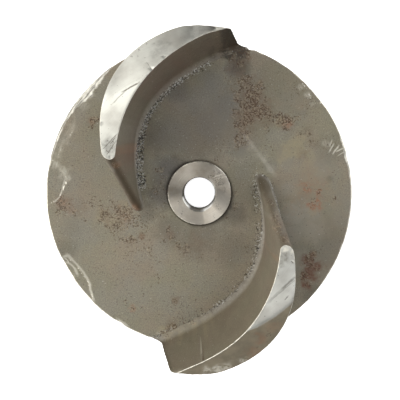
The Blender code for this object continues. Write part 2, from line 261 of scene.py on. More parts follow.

# Patches of the disc's front, of the hub face and of the vanes: plan place x, y and radius in
# millimetres, and cover. Each list is carried by the mesh under its name. The first two of the
# disc are rust scale and its red stain. Of its other patches, one is darker skin with painted
# shade, one painted light that lifts the shade beside the second vane, one rubbed pale places
# near the rim, and one calm smooth skin with hardly any grain.
DISC_PATCHES = {
    "scale": (
        (37.9, 93.3, 5.7, 0.9), (32.2, 90.1, 4.9, 0.8), (43.6, 84.4, 7.5, 1.3), (48.5, 86, 6, 1.1),
        (42.8, 75.4, 9.5, 1.4), (36.3, 72.2, 7, 1), (46, 68.9, 9.5, 1.4), (51.7, 67.3, 7.5, 1.2),
        (38.7, 60.8, 8, 1.2), (33.8, 55.9, 6.5, 0.95), (56.6, 62.4, 6.5, 1.1),
        (62.3, 59.1, 6.5, 1.05), (68.8, 58.3, 6.5, 1), (75.3, 57.5, 4.9, 0.8),
        (79.4, 60.8, 4.1, 0.7), (35.5, 46.9, 6, 0.9), (32.2, 41.2, 6.5, 0.85),
        (38.7, 41.2, 3.3, 0.6), (89.2, 48.5, 4.9, 0.5), (91.6, 40.4, 4.1, 0.45),
        (81.9, 47.7, 4.1, 0.5), (55.8, 52.6, 4.9, 0.5), (31.4, 81.9, 7, 0.6),
        (30.6, 65.6, 7, 0.65), (24.1, 93.3, 4.9, 0.35), (53.4, 75.4, 4.9, 0.6), (31, 116, 8, 1.3),
        (36, 113.5, 5, 1.1), (27, 112, 6, 1), (33, 106, 5, 0.7), (-66.3, -14.1, 5.7, 0.8),
        (-61.4, -17.4, 5.7, 0.85), (-57.4, -11.7, 4.1, 0.7), (-55.7, -19, 4.9, 0.8),
        (-76.1, -15.8, 4.9, 0.8), (-78.5, -21.5, 4.9, 0.8), (-75.3, -27.2, 4.1, 0.7),
        (-65.5, -24.7, 5.7, 0.7), (-59.8, -28.8, 4.9, 0.6), (-51.7, -25.5, 4.1, 0.6),
        (-56.5, -37.7, 4.1, 0.75), (-52.5, -39.4, 3.3, 0.7), (-62.2, -37.7, 3.3, 0.5),
        (-46.8, -35.3, 3.3, 0.5), (-25.6, -31.2, 4.1, 0.85), (-70, -9, 5, 0.5), (-50, -20, 5, 0.5),
        (-66, -19, 9, 0.6), (29.5, 0, 4, 0.5), (27.5, -10.5, 4, 0.55), (22, -20, 4, 0.5),
        (15, 27, 4, 0.45), (-28.5, 12, 4, 0.45), (-27.5, -9, 3.4, 0.4), (-22.3, -36.1, 4.1, 0.85),
        (-28.9, -38.6, 3.3, 0.6), (-41.1, -46.7, 4.1, 0.5), (-17.5, -41, 4.9, 0.6),
        (-69.6, -32.1, 6.5, 0.5), (-43.5, -27.2, 4.9, 0.4), (-10.9, -46.7, 6.5, 0.4),
        (-81, -10.1, 4.1, 0.5), (-111.9, -6, 4.9, 0.9), (-107, -10.9, 4.1, 0.8),
        (-101.3, -15, 4.1, 0.7), (-110.3, -12.5, 4.1, 0.8), (-90.7, -9.3, 6.5, 0.5),
        (-93.2, -19, 5.7, 0.4), (-86.7, -4.4, 4.1, 0.5), (-115.2, -15.8, 3.3, 0.6),
        (-85, 59.1, 4.1, 0.8), (-87.5, 54.2, 3.3, 0.7), (-97.2, 18.4, 6.5, 0.4),
        (-92.4, 11.9, 4.9, 0.35), (-98.9, 26.6, 4.1, 0.3), (-92.4, 34.7, 4.1, 0.3),
        (89, -56.5, 6.5, 0.8), (86.5, -67.1, 6, 0.8), (91.6, -50, 4.6, 0.65),
        (95.4, -61, 4.6, 0.7), (87, -75.2, 4.1, 0.75), (87.5, 4, 4.6, 0.5), (93.3, -9.7, 5, 0.45),
        (96, 1, 3.6, 0.45), (109.5, -4, 2.4, 1), (-19.9, -87.4, 3.3, 0.8),
        (-54.1, -94.7, 3.3, 0.8), (45.2, -42.6, 9.8, 0.4), (41.2, -63, 9.8, 0.32),
        (31.4, -79.3, 8.1, 0.32), (23.2, -91.5, 7.3, 0.32), (12.7, -97.2, 7.3, 0.34),
        (0.4, -99.6, 7.3, 0.34), (-10.9, -105.3, 5, 0.5), (-21.3, -110, 4.5, 1),
        (-29, -114, 4.5, 1), (-40.3, -79.3, 48.8, 0.15), (-72.8, -54.8, 32.6, 0.16),
        (0.4, -63, 32.6, 0.14), (-15.8, -98, 20.4, 0.26), (20.8, -80, 18.3, 0.2),
        (-48.4, -46.7, 24.4, 0.26), (-46, -84, 3, 0.5), (-60, -88, 3, 0.5), (-34, -70, 5, 0.45),
        (-32, 17.6, 4, 0.75), (-35, 0.5, 3.4, 0.65), (-30, 9, 3, 0.55), (-56.5, 18.4, 20.4, 0.2),
        (-32.1, 2.1, 12.2, 0.32), (20.8, 34.7, 14.7, 0.32), (50.9, 10.3, 11.4, 0.34),
        (-36.2, -18.2, 9.8, 0.34), (57.4, 34.7, 8.1, 0.32), (86, 70, 12, 0.28), (78, 84, 10, 0.25),
        (104, 40, 9, 0.3),
    ),
    "red": (
        (88, 3.6, 5, 1.1), (97, 0, 4.4, 1.3), (85.4, 6.6, 3.6, 0.8), (93.8, -9.5, 5.4, 1.25),
        (96.5, -11, 4, 1.1), (90.5, -10.5, 3.6, 0.8), (98, -3, 3.4, 0.8), (90, 0, 17, 0.25),
        (80, -10, 12, 0.2), (72, 56.5, 4.6, 0.75), (-111.5, -7, 5, 0.5), (-106, -12, 6, 0.3),
        (-54.1, -94.7, 3.4, 0.5), (-60.6, -19.8, 4.1, 0.3), (-47, -35.3, 2.6, 0.25),
        (-86.7, 57.5, 3.3, 0.5), (-63, -16, 9, 0.15),
    ),
    "brown": (
        (42, 84, 13, 0.75), (45, 70, 14, 0.9), (38, 58, 11, 0.8), (56, 61, 8, 0.6),
        (69, 57, 8, 0.6), (34, 43, 8, 0.4), (-19.9, -87.4, 3.4, 1), (-47, -35.3, 2.6, 1),
        (-61.4, -19, 9, 0.55), (-76, -19, 7, 0.5), (-74, -27, 5, 0.4), (-55, -38, 5, 0.4),
        (-24, -34, 6, 0.6), (-110, -9, 8, 0.55), (-98, -13, 8, 0.35), (-22.3, -111, 6.5, 0.6),
        (33, 111, 9, 0.9), (31, 100, 9, 0.6), (85.1, 32.3, 5.4, 0.5), (-8, -44, 14, 0.35),
        (93, 40, 5, 0.35), (88, 50, 5, 0.35), (-87, 57, 6, 0.35),
    ),
    "deep": (
        (89, -56.5, 6.5, 1.1), (86.5, -66.5, 5.5, 1.2), (91.5, -50.5, 4.6, 0.9),
        (95.4, -60.5, 5.4, 1), (87.5, -75, 5, 1.1), (92, -69, 6, 1.1), (91, -62, 7, 1.2),
    ),
    # Dark crust at the first vane's end, with painted shade under its wall.
    "crust_and_shade": (
        (27, 118, 7, 1.9), (33.5, 116, 5.5, 1.9), (23, 114.5, 6, 1.4), (31, 110, 6, 0.8),
        (31, 104, 8, 0.45),
    ),
    # Painted shade with a cooler tint, beside and between the vanes and left of the hub.
    "cool_shade": (
        (12, 90, 14, 0.7), (20, 70, 16, 0.8), (10, 55, 18, 0.6), (25, 100, 8, 0.6),
        (2, 75, 16, 0.6), (-20, 45, 18, 0.5), (70, -18, 8, 0.3), (73, -34, 9, 0.3),
        (-26, 16, 16, 0.8), (-32, -4, 12, 0.5), (-18, 78, 13, 0.6), (58, 22, 7, 0.5),
        (-8, -8, 26, 0.1), (30, 40, 12, 0.5), (-98, -28, 16, 0.25),
    ),
    "ochre": (
        (80, 37, 9, 1), (90, 30, 8, 0.6), (80, 84, 26, 0.22), (98, 60, 20, 0.22), (72, 34, 7, 0.9),
        (68, 28, 6, 0.7), (77, 40, 6, 0.5), (93, -15, 5, 0.6), (-62, -18, 10, 0.7),
        (-76, -20, 8, 0.6), (65.5, 57.5, 4.6, 0.9), (92, 4, 20, 0.4), (-30, -113, 5, 1),
        (-22, -110, 5, 0.9), (-68, -52, 14, 0.3),
    ),
    # Darker skin and painted shade near the hub, between the vanes and beside the second vane.
    "dim_skin_and_shade": (
        (-4, 48, 36, 0.95), (-22, 20, 16, 1.7), (-42, -14, 12, 1.1), (-24, -31, 16, 0.9),
        (27, -16, 15, 1.25), (25, -44, 18, 0.7), (-108, -46, 10, 0.7), (2, -31, 17, 0.9),
        (-104, -30, 9, 0.3), (24, 62, 38, 0.7), (-22, 4, 22, 0.8), (66, 86, 34, 0.6),
        (0, -34, 24, 0.85), (104, -44, 24, 0.5), (34, 4, 26, 0.75), (0, 90, 26, 0.7),
        (106.3, 11.1, 3.6, 0.8), (-28, 0, 18, 1.5), (-32, 46, 18, 1.1), (107, 35, 14, 0.4),
        (93, -84, 11, 0.9), (32, 100, 13, 1.3), (-15, 82, 14, 1.2),
    ),
    # Painted light: paler skin that lifts the shade beside the second vane.
    "painted_light_in_shadow": (
        (74, 2, 10, 0.3), (77, -16, 12, 0.55), (90, -15, 11, 0.4), (91, -31, 14, 0.4),
        (77, -33, 11, 0.35), (84, -54, 10, 0.3),
    ),
    "rubbed": (
        (-110.3, 15.6, 5, 1), (-107.6, 13, 3.4, 1), (-116.8, 23.3, 4.4, 1), (-112, 19, 3.4, 0.9),
        (-115.5, 30, 4.6, 0.4), (-113, 36.5, 4.6, 0.4), (-110, 42, 4.6, 0.4),
        (-107, 47.5, 4.6, 0.4), (-103, 53.5, 4.6, 0.4), (-90, 79, 6, 0.5), (-94, 72, 5, 0.4),
        (103, 40, 3.4, 0.5), (-33, -114.5, 2.4, 0.9), (83, 86.5, 3, 0.7), (88.5, 79.5, 3, 0.7),
        (92.5, 72, 2.6, 0.5), (53.8, 27, 4, 0.3), (48, 32, 3.4, 0.25), (42, 38, 3.4, 0.2),
        (58, 20, 4, 0.2),
    ),
    "calm": (
        (85.9, -15.8, 21.2, 1), (102.2, -26.4, 21.2, 1), (81.9, -34.5, 13, 1),
        (114.4, -6, 11.4, 0.7), (33, 34.7, 9.8, 0.6), (69.6, 30.6, 12, 0.8), (95, 15, 22, 0.8),
        (75, -55, 20, 0.8), (100, -60, 16, 0.8), (60, 5, 14, 0.7), (20, 60, 22, 0.6),
        (-48.4, 18.4, 8.1, 0.4), (76, 74, 20, 0.5), (-50, -70, 26, 0.3),
    ),
}
SMOOTH_PATCHES = ("cool_shade", "dim_skin_and_shade", "painted_light_in_shadow", "calm")
HUB_PATCHES = {
    "scale": (
        (15.8, 10.2, 4, 0.85), (18, 7, 3.4, 0.7), (11.5, 12.5, 3.2, 0.85), (12, 17, 2.6, 0.55),
        (8.5, 13.5, 2.6, 0.7), (16, 14, 3.2, 0.6), (20, 3, 3, 0.55), (14, -9, 3, 0.45),
        (17, -12, 2.6, 0.4), (-14, -16, 2.4, 0.45), (-17, -7, 2.4, 0.5), (12, -19, 2.2, 0.4),
    ),
    "smudge": (
        (15, 11, 6.5, 0.8), (18, 4, 5, 0.5), (-21, 2, 6, 0.7), (2, 19, 7, 0.5), (11, 14, 4, 0.6),
        (-19, -3, 4, 0.4),
    ),
}
VANE_PATCHES = {
    "ruddy": ((-50.7, 27.9, 9, 0.55), (-10.8, 102, 12, 0.4), (-32, 86, 16, 0.4)),
    "sand": ((-26, -112, 7, 0.9), (-16, -108.5, 7, 0.8), (-7, -105, 8, 0.8), (3, -100, 7, 0.5)),
    "olive": ((20, -108, 32, 1), (45, -85, 26, 1), (-12, -120, 22, 1), (58, -58, 18, 0.8)),
    # Painted shade in the recess at the foot of the second vane's nose.
    "nose_recess_shade": ((51, 8, 6, 0.7), (49, 12, 4, 0.6)),
    # Dark crust at the first vane's end, with painted shade on its fillet.
    "crust_and_shade": ((27, 119, 8, 1.5), (34, 117.5, 6, 1.4), (21, 115, 8, 1), (14, 110, 6, 0.5)),
    "scale": (
        (5, 100, 14, 0.3), (20, 112, 12, 0.35), (30, 116, 8, 0.9), (36, 117, 6, 1.1),
        (-58, 24.6, 3, 1), (55, -5, 4, 0.5), (57, -13, 5, 0.6), (59, -20, 5, 0.65),
        (60.5, -26, 4, 0.7), (-52, -11.5, 3, 0.9), (3, -113, 3, 0.3), (-27, -116, 4, 0.5),
        (-5, -104.5, 4, 0.5),
    ),
    "red": (
        (54.2, -39.8, 2.6, 0.4), (-52.8, 36, 4, 0.4), (-57.4, 25, 3.2, 0.5), (-51.5, -12, 3, 0.6),
        (58, -16, 6, 0.15),
    ),
    "brown": (
        (59, -18, 5, 0.35), (61, -26, 4, 0.6), (57, -10, 4, 0.3), (-52.5, 33, 7, 0.5),
        (-17.1, 101, 7, 0.4), (-6.1, 108.3, 6, 0.5), (20, 112, 8, 0.4), (-58, 24.6, 2.6, 0.8),
        (-52, -10.5, 4, 0.7),
    ),
    # Painted highlight: the fillet's lighter colour where the noses' edges catch the light.
    "painted_highlight": (
        (57.5, 9, 3.6, 0.9), (59.5, 2, 3.6, 0.9), (61, -6, 3.6, 0.7), (54.5, 14, 3, 0.7),
        (-61.5, 14, 3.6, 0.6), (-59, 4, 3.6, 0.6), (-62, 22, 3, 0.6), (-53, 50, 13, 0.4),
        (57, -12, 5.5, 0.85), (59.5, -19, 5, 0.45),
    ),
    "top_stain": (
        (-59.7, 37, 8, 0.75), (-65.8, 53.4, 1.6, 0.8), (58.1, -36.5, 4.2, 0.9),
        (55.8, -42.5, 3.6, 0.9), (-25, 105.4, 10, 0.5), (0, 118, 10, 0.6),
    ),
    "top_rust": ((44.4, -96, 6, 0.8), (37.8, -105.6, 6, 0.8), (52, -86, 6, 0.4)),
    "top_scale": (
        (48.5, -92.2, 3.4, 0.6), (42, -104.3, 4.6, 0.5), (-60.5, 37, 5, 0.35),
        (-46, 101.5, 2, 0.55), (-41, 106, 2, 0.55), (-35.5, 110.5, 2, 0.55),
    ),
    "scuff": (
        (7, -120.2, 4.4, 0.6), (12.7, -118.6, 4.6, 0.75), (20.5, -117.6, 4.8, 0.75),
        (31.1, -112.5, 3.4, 0.6), (58.6, -31.4, 3.2, 0.9), (62.4, -31.6, 3, 0.8),
        (17, 121, 6, 0.8), (7, 116, 6, 0.7), (-8.9, 106, 6, 0.5),
    ),
}

# Scratches: plan place from and to, and width in millimetres, then strength.
DISC_SCRATCHES = (
    (35.5, 48.5, 48, 32, 3.2, 0.16), (48, 32, 61.5, 14, 3.6, 0.2),
    (105.5, 33, 109.5, 40, 1.1, 0.8), (108.5, 31.5, 113.5, 38.5, 1.2, 0.9),
    (111.5, 33.5, 117.5, 36.5, 1.2, 0.9), (106, 37.5, 108, 43, 0.9, 0.6),
    (112.5, 30, 118, 33, 0.9, 0.6), (-112, 3, -109.6, 11, 1.3, 0.6),
    (-113.6, -3.6, -112, 3, 1.1, 0.6), (-118.5, -8, -113.6, -3.6, 1.1, 0.6),
)
# Pale broken edges of the chips at the lower left of the disc.
CHIP_LINES = (
    (-111.4, -52.6, -106.2, -50.9, 2.8, 0.8), (-107.9, -50.2, -103, -55.4, 2.8, 0.8),
    (-104.8, -53.6, -97.9, -60.5, 1.9, 0.75), (-99.8, -58.4, -92.6, -67.2, 1.8, 0.8),
    (-94.6, -64.4, -88.4, -75, 1.9, 0.85), (-89.7, -72.2, -88.7, -80.8, 2.4, 0.85),
    (-89.2, -78.2, -85.6, -88.6, 2.2, 0.8), (-109.6, -56.8, -103.8, -59.4, 1.6, 0.7),
    (-105.6, -58.2, -100.8, -62.8, 1.8, 0.75), (-102.4, -60.8, -99.2, -67.6, 2, 0.8),
    (-67.2, -102.3, -57.4, -109.2, 1.8, 0.75),
)
# Cast mark on the second vane's wall, and the thin pale lines beside it.
WALL_MARKS = ((3.2, -111, 4.6, -116.2, 2.4, 1),)
WALL_LINES = ((2.5, -115.2, -11.9, -122.2, 0.5, 0.9), (1.2, -109.6, 2.4, -112.2, 1.2, 0.45))
TOP_SCRATCHES = (
    (-39.6, 82, -51.5, 75.2, 1.05, 0.9), (-48, 77, -58.3, 67, 0.8, 0.5),
    (-54.9, 46.6, -63.8, 37.1, 0.6, 0.7), (-55.6, 44.6, -59.7, 39.8, 0.55, 0.75),
    (-61.9, 32.6, -57.2, 39.8, 0.6, 0.75), (-59.6, 35.6, -55.8, 41.5, 0.5, 0.6),
    (-31.5, 91.4, -35.5, 96.5, 0.45, 0.5), (65.6, -51.4, 56.8, -59.6, 1.5, 0.6),
    (66, -53, 48.5, -68, 0.55, 0.45), (56.8, -59.6, 47.9, -68.5, 1.8, 0.3),
    (59.5, -66.4, 61.5, -63.7, 0.8, 0.7), (63.9, -40, 64.8, -41, 0.8, 0.8),
)
HUB_SCRATCHES = (
    (11, 12.6, 19.4, 15.4, 0.6, 0.85), (13.4, 11.6, 20.5, 13, 0.45, 0.7),
    (13.8, 8, 19.5, 13, 0.45, 0.6), (17, 3, 18.6, 13, 0.4, 0.45), (12, 20.5, 14.5, 16, 0.45, 0.6),
    (16.5, -1, 22, -7, 0.4, 0.35), (-17.5, 9, -14, 13.5, 0.4, 0.4),
    (13, -17.5, 19.5, -12, 0.4, 0.4),
)

CAMERA_PLACE = (0.00748, 0.0409, 0.41309)
CAMERA_LENS = 42.57
CAMERA_SHIFT = (-0.0216, -0.144)
LIGHT_DISTANCE = 1.2
LIGHT_SIZE = 0.55
WARM = (1.0, 0.985, 0.95)
COOL = (0.975, 0.985, 1.0)
# Soft lights round the object: azimuth and elevation in degrees, watts, colour.
LIGHTS = (
    (0, 12, 3.5, COOL), (45, 12, 3.85, COOL), (180, 12, 7.5, WARM), (22.5, 35, 1.6, COOL),
    (112.5, 35, 1.15, WARM), (135, 35, 0.88, WARM), (157.5, 35, 3.4, WARM),
    (202.5, 35, 2.35, WARM), (247.5, 35, 0.7, WARM), (30, 58, 1.4, COOL), (225, 58, 2.05, WARM),
    (270, 58, 0.9, WARM), (315, 58, 1.25, COOL), (120, 70, 1.15, WARM), (150, 70, 1.2, WARM),
)
FLOOR_RADII = (4.0, 1.0, 0.2, 0.001)
FLOOR_COLUMNS = 96
FLOOR_GLOW = 0.9
WORLD_GLOW = 0.02
WHITE = (1.0, 1.0, 1.0, 1.0)


# Fields and meshes


def srgb(*channels):
    """Colour as seen on a screen, 0 to 255 a channel, turned into light values."""
    return tuple(((c / 255.0 + 0.055) / 1.055) ** 2.4 for c in channels)


def smooth_step(value, low, high):
    """0 below low, 1 above high, and the cubic 3s2 - 2s3 of the share s between."""
    share = np.clip((value - low) / (high - low), 0.0, 1.0)
    return share * share * (3.0 - 2.0 * share)


def field(points, cell, seed):
    """Smooth random field from -1 to 1 at any points of one to three coordinates.

    Every corner of a lattice with the given cell has a random value, and a point takes the mean
    of its cell's corners, each weighted by the product of smooth steps towards it.
    """
    table = np.random.default_rng(seed).uniform(-1.0, 1.0, 4096)
    scaled = np.asarray(points) / cell
    corner = np.floor(scaled).astype(np.int64)
    share = scaled - corner
    share = share * share * (3.0 - 2.0 * share)
    total = np.zeros(scaled.shape[:-1])
    keys = (73856093, 19349663, 83492791)
    for offset in product((0, 1), repeat=scaled.shape[-1]):
        place = np.zeros(total.shape, np.int64)
        weight = np.ones(total.shape)
        for axis, step in enumerate(offset):
            place ^= (corner[..., axis] + step) * keys[axis]
            weight *= share[..., axis] if step else 1.0 - share[..., axis]
        total += table[place & 4095] * weight
    return total


def along_field(angle, cells, seed):
    """Smooth random values round a closed circle: the field on a circle of that many cells."""
    return field(round_axis(cells / TURN, angle), 1.0, seed)


def patch_values(plan, patches, seed):
    """For each name, the highest cover at each plan point of its soft uneven patches.

    A patch's cover falls by a smooth step of the distance over its radius, which a random field
    bends, less so for the smooth patches.
    """
    values = {}
    for number, (key, rows) in enumerate(patches.items()):
        first = seed + 5 * number
        bend = 0.42 * field(plan, 5.0 * MM, first) + 0.28 * field(plan, 2.2 * MM, first + 1)
        bend *= 0.35 if key in SMOOTH_PATCHES else 1.0
        total = np.zeros(len(plan))
        for x, y, radius, cover in rows:
            away = np.hypot(plan[:, 0] - x * MM, plan[:, 1] - y * MM) / (radius * MM)
            total = np.maximum(total, cover * (1.0 - smooth_step(away + bend, 0.3, 1.25)))
        values[key] = total
    return values


def table_value(angle_degrees, table):
    """Value of a table of angle and value, by straight lines between its rows, else 0."""
    keys, values = np.array(table).T
    return np.interp(angle_degrees, keys, values, left=0.0, right=0.0)


def round_axis(radius, angle, *more):
    """Points at radii and angles round the axis, with more coordinates after the plan's two."""
    parts = (radius * np.cos(angle), radius * np.sin(angle), *more)
    return np.stack(np.broadcast_arrays(*parts), axis=-1)


def loop_quads(rows, cols, close_rows=False):
    """Corner numbers of the quads of a grid whose columns close on themselves."""
    last = rows if close_rows else rows - 1
    row, col = np.meshgrid(np.arange(last), np.arange(cols), indexing="ij")
    below, right = (row + 1) % rows, (col + 1) % cols
    corners = (row * cols + col, row * cols + right, below * cols + right, below * cols + col)
    return np.stack(corners, axis=-1).reshape(-1, 4)


def add_object(name, mesh, materials):
    """Link a mesh with its materials as an object at the origin."""
    for material in materials:
        mesh.materials.append(material)
    piece = bpy.data.objects.new(name, mesh)
    bpy.context.scene.collection.objects.link(piece)
    return piece


def casting_piece(name, surface, materials, sharp_degrees=32.0):
    """Mesh of points, faces, face slots and named point values that stands for the casting.

    Its faces are turned outwards, and it moves with the casting's body.
    """
    points, faces, slots, values = surface
    mesh = bpy.data.meshes.new(name)
    mesh.from_pydata(points.tolist(), [], faces)
    mesh.polygons.foreach_set("material_index", np.asarray(slots, np.int32))
    for key, value in values.items():
        layer = mesh.attributes.new(key, "FLOAT", "POINT")
        layer.data.foreach_set("value", np.asarray(value, np.float32).ravel())
    shape = bmesh.new()
    shape.from_mesh(mesh)
    bmesh.ops.recalc_face_normals(shape, faces=shape.faces)
    shape.to_mesh(mesh)
    shape.free()
    mesh.shade_smooth()
    mesh.set_sharp_from_angle(angle=math.radians(sharp_degrees))
    piece = add_object(name, mesh, materials)
    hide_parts(CASTING_NODE)
    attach(piece, ROOT_BODY)


# The vanes


def cubic(controls, share):
    """Points of a cubic curve: four control points blended with Bernstein weights."""
    at = np.asarray(controls)
    t = np.asarray(share)[..., None]
    rest = 1.0 - t
    return rest**3 * at[0] + 3 * rest**2 * t * at[1] + 3 * rest * t**2 * at[2] + t**3 * at[3]


def nose_controls(inner, outer, tip):
    """Controls of the rounded nose between both walls, leaving each wall along its direction."""
    start, end = np.array(inner[0]), np.array(outer[0])
    into = np.array(inner[1]) - start
    away = np.array(outer[1]) - end
    into /= np.linalg.norm(into)
    away /= np.linalg.norm(away)
    middle = (start + end) / 2.0
    reach = np.linalg.norm(np.array(tip) - middle) * 8.0 / (3.0 * np.linalg.norm(into + away))
    return start, start - into * reach, end - away * reach, end


def vane_outline(inner, outer, tip):
    """Open plan outline: in along the inner wall, round the nose, out along the outer wall.

    Both walls run on a little past the ends of their curves, so that each reaches the rim.
    """
    wall = np.linspace(0.0, 1.05, DENSE_WALL)
    nose = np.linspace(0.0, 1.0, DENSE_NOSE + 2)[1:-1]
    bow = cubic(nose_controls(inner, outer, tip), nose)
    return np.concatenate((cubic(inner, wall[::-1]), bow, cubic(outer, wall)))


def top_height(plan, sizes):
    """Height of the turned top: flat, then a straight fall to the rim, softened at the break.

    The distance past the break is w log(1 + exp(d / w)), for a distance d and a width w.
    """
    radius = np.linalg.norm(plan, axis=-1)
    fall = (sizes.vane_height - sizes.rim_height) / (sizes.disc_radius - sizes.break_radius)
    width = sizes.break_width
    past = width * np.log1p(np.exp((radius - sizes.break_radius) / width))
    return sizes.vane_height - fall * past


def lengthen(plan, degrees, start=SWEEP_START):
    """Plan points turned clockwise by an angle that grows by a smooth step towards the rim."""
    radius = np.linalg.norm(plan, axis=-1)
    grown = smooth_step(radius, start, SWEEP_END)
    angle = np.arctan2(plan[..., 1], plan[..., 0]) - math.radians(degrees) * grown
    return round_axis(radius, angle)


def left_normals(along):
    """Unit plan directions to the left of the given ones."""
    normal = np.stack((-along[..., 1], along[..., 0]), axis=-1)
    return normal / np.maximum(np.linalg.norm(normal, axis=-1, keepdims=True), 1e-9)


def ring_normals(rings):
    """Outward unit normals in plan of closed rings of points."""
    plan = rings[..., :2]
    return left_normals(np.roll(plan, -1, axis=-2) - np.roll(plan, 1, axis=-2))


def resample(line, count):
    """The same line with points at equal steps of its plan length."""
    steps = np.linalg.norm(np.diff(line[:, :2], axis=0), axis=1)
    length = np.concatenate(([0.0], np.cumsum(steps)))
    wanted = np.linspace(0.0, length[-1], count)
    return np.stack([np.interp(wanted, length, line[:, i]) for i in range(line.shape[1])], axis=1)


def cut_at_rim(line, radius):
    """Drop what a line from the rim inwards has outside the radius, and end it on the radius."""
    distance = np.linalg.norm(line[:, :2], axis=1)
    first = int(np.argmax(distance < radius))
    if first == 0:
        raise RuntimeError("a vane's wall doesn't reach the rim")
    share = (distance[first - 1] - radius) / (distance[first - 1] - distance[first])
    end = line[first - 1] + (line[first] - line[first - 1]) * share
    return np.concatenate((end[None], line[first:]))


def inner_shares(count):
    """Equal shares between 0 and 1 with both ends left out."""
    return np.linspace(0.0, 1.0, count + 2)[1:-1]


def wall_levels(sizes):
    """Shares of the vane's height for its rows: sunk foot, root fillet, wall up to the top edge."""
    fillet = 1.0 - np.cos(np.linspace(0.12, QUARTER, 9))
    fillet *= sizes.root_fillet / sizes.vane_height
    return np.concatenate(([0.0002], fillet, np.linspace(fillet[-1], 1.0, 40)[1:]))


def vane_rows(sizes, sweep_ends):
    """Rows of one vane from its foot to its top: ruled walls with a hollow fillet at the root.

    A wall point lies on the straight line from its foot curve to its top curve. Near the foot it
    moves out along the wall's plan normal by r - sqrt(r2 - (r - z)2), the quarter circle of the
    root fillet. Each row ends on the rim and is closed along it. The inner wall's end is swept
    further along the rim by a table of height share and degrees.
    """
    foot = vane_outline(INNER_FOOT, OUTER_FOOT, NOSE_FOOT)
    top = vane_outline(INNER_TOP, OUTER_TOP, NOSE_TOP)
    height = top_height(top, sizes)
    run = np.abs(np.linspace(-1.0, 1.0, len(foot)))
    radii = sizes.nose_fillet + (sizes.root_fillet - sizes.nose_fillet) * smooth_step(run, 0.1, 0.4)
    rim = sizes.disc_radius + VANE_OVER_RIM
    outer_start = DENSE_WALL + DENSE_NOSE
    rows = []
    for level in wall_levels(sizes):
        z = height * level
        plan = foot + (top - foot) * level
        sweep = float(table_value(level, sweep_ends))
        start = SWEEP_START + SWEEP_RISE * level
        plan[:DENSE_WALL] = lengthen(plan[:DENSE_WALL], sweep, start)
        below = radii - np.minimum(z, radii)
        flare = radii - np.sqrt(np.maximum(radii**2 - below**2, 0.0))
        plan += left_normals(np.gradient(plan, axis=0)) * flare[:, None]
        line = np.concatenate((plan, z[:, None]), axis=1)
        inner = resample(cut_at_rim(line[:DENSE_WALL], rim), WALL_STEPS)
        outer = resample(cut_at_rim(line[outer_start:][::-1], rim)[::-1], WALL_STEPS)
        nose = resample(line[DENSE_WALL - 1:outer_start + 1], NOSE_STEPS + 2)[1:-1]
        share = inner_shares(ACROSS_STEPS)
        turns = np.arctan2([outer[-1, 1], inner[0, 1]], [outer[-1, 0], inner[0, 0]])
        rise = outer[-1, 2] + (inner[0, 2] - outer[-1, 2]) * share
        arc = round_axis(rim, turns[0] + (turns[1] - turns[0]) * share, rise)
        rows.append(np.concatenate((inner, nose, outer, arc)))
    return np.array(rows)


def rounded_edge(top, seed):
    """Four rings that round and burr a vane's top edge by uneven amounts.

    Each steps in by b (1 - cos a) and down by b (1 - sin a), for a quarter turn of a.
    """
    angle = TURN * np.arange(len(top)) / len(top)
    uneven = 0.5 + 0.35 * along_field(angle, 260, seed) + 0.25 * along_field(angle, 60, seed + 1)
    bevel = (0.2 + 0.36 * np.clip(uneven, 0.0, 1.0)) * MM
    part = np.array((0.0, 0.3, 0.65, 1.0))[:, None] * QUARTER
    rings = np.tile(top, (4, 1, 1))
    rings[..., :2] -= ring_normals(top) * (bevel * (1.0 - np.cos(part)))[..., None]
    rings[..., 2] -= bevel * (1.0 - np.sin(part))
    return rings


def vane_cap(offset, first_new):
    """Grid and faces between both walls: rungs from wall to wall, closed by a fan at the nose.

    The grid's first rung is the rim arc, its sides are ring points, and its inside is new points.
    """
    half = NOSE_STEPS // 2
    rungs = WALL_STEPS + half
    arc_start = 2 * WALL_STEPS + NOSE_STEPS
    index = np.zeros((rungs, ACROSS_STEPS + 2), np.int64)
    index[:, 0] = offset + np.arange(rungs)
    index[:WALL_STEPS, -1] = offset + arc_start - 1 - np.arange(WALL_STEPS)
    index[WALL_STEPS:, -1] = offset + WALL_STEPS + NOSE_STEPS - 1 - np.arange(half)
    index[0, 1:-1] = offset + arc_start + ACROSS_STEPS - 1 - np.arange(ACROSS_STEPS)
    inside = first_new + np.arange((rungs - 1) * ACROSS_STEPS)
    index[1:, 1:-1] = inside.reshape(rungs - 1, ACROSS_STEPS)
    quads = np.stack((index[:-1, :-1], index[:-1, 1:], index[1:, 1:], index[1:, :-1]), axis=-1)
    last = index[-1]
    tip = np.full(len(last) - 1, offset + WALL_STEPS + half)
    fan = np.stack((last[:-1], last[1:], tip), axis=-1)
    return index, [*quads.reshape(-1, 4).tolist(), *fan.tolist()]


def crust_share(plan, second):
    """How thick the crust at the foot of a vane is, at plan points as the first vane has them."""
    share = np.clip(0.95 + 0.6 * field(plan, 6.0 * MM, 14), 0.25, 1.2)
    if second:
        return 0.4 * share
    share *= smooth_step(plan[:, 1], -1.0 * MM, 9.0 * MM)
    share *= 1.0 - 0.3 * smooth_step(plan[:, 0], -48.0 * MM, -38.0 * MM)
    return share * (1.0 - 0.8 * smooth_step(plan[:, 0], 8.0 * MM, 16.0 * MM))


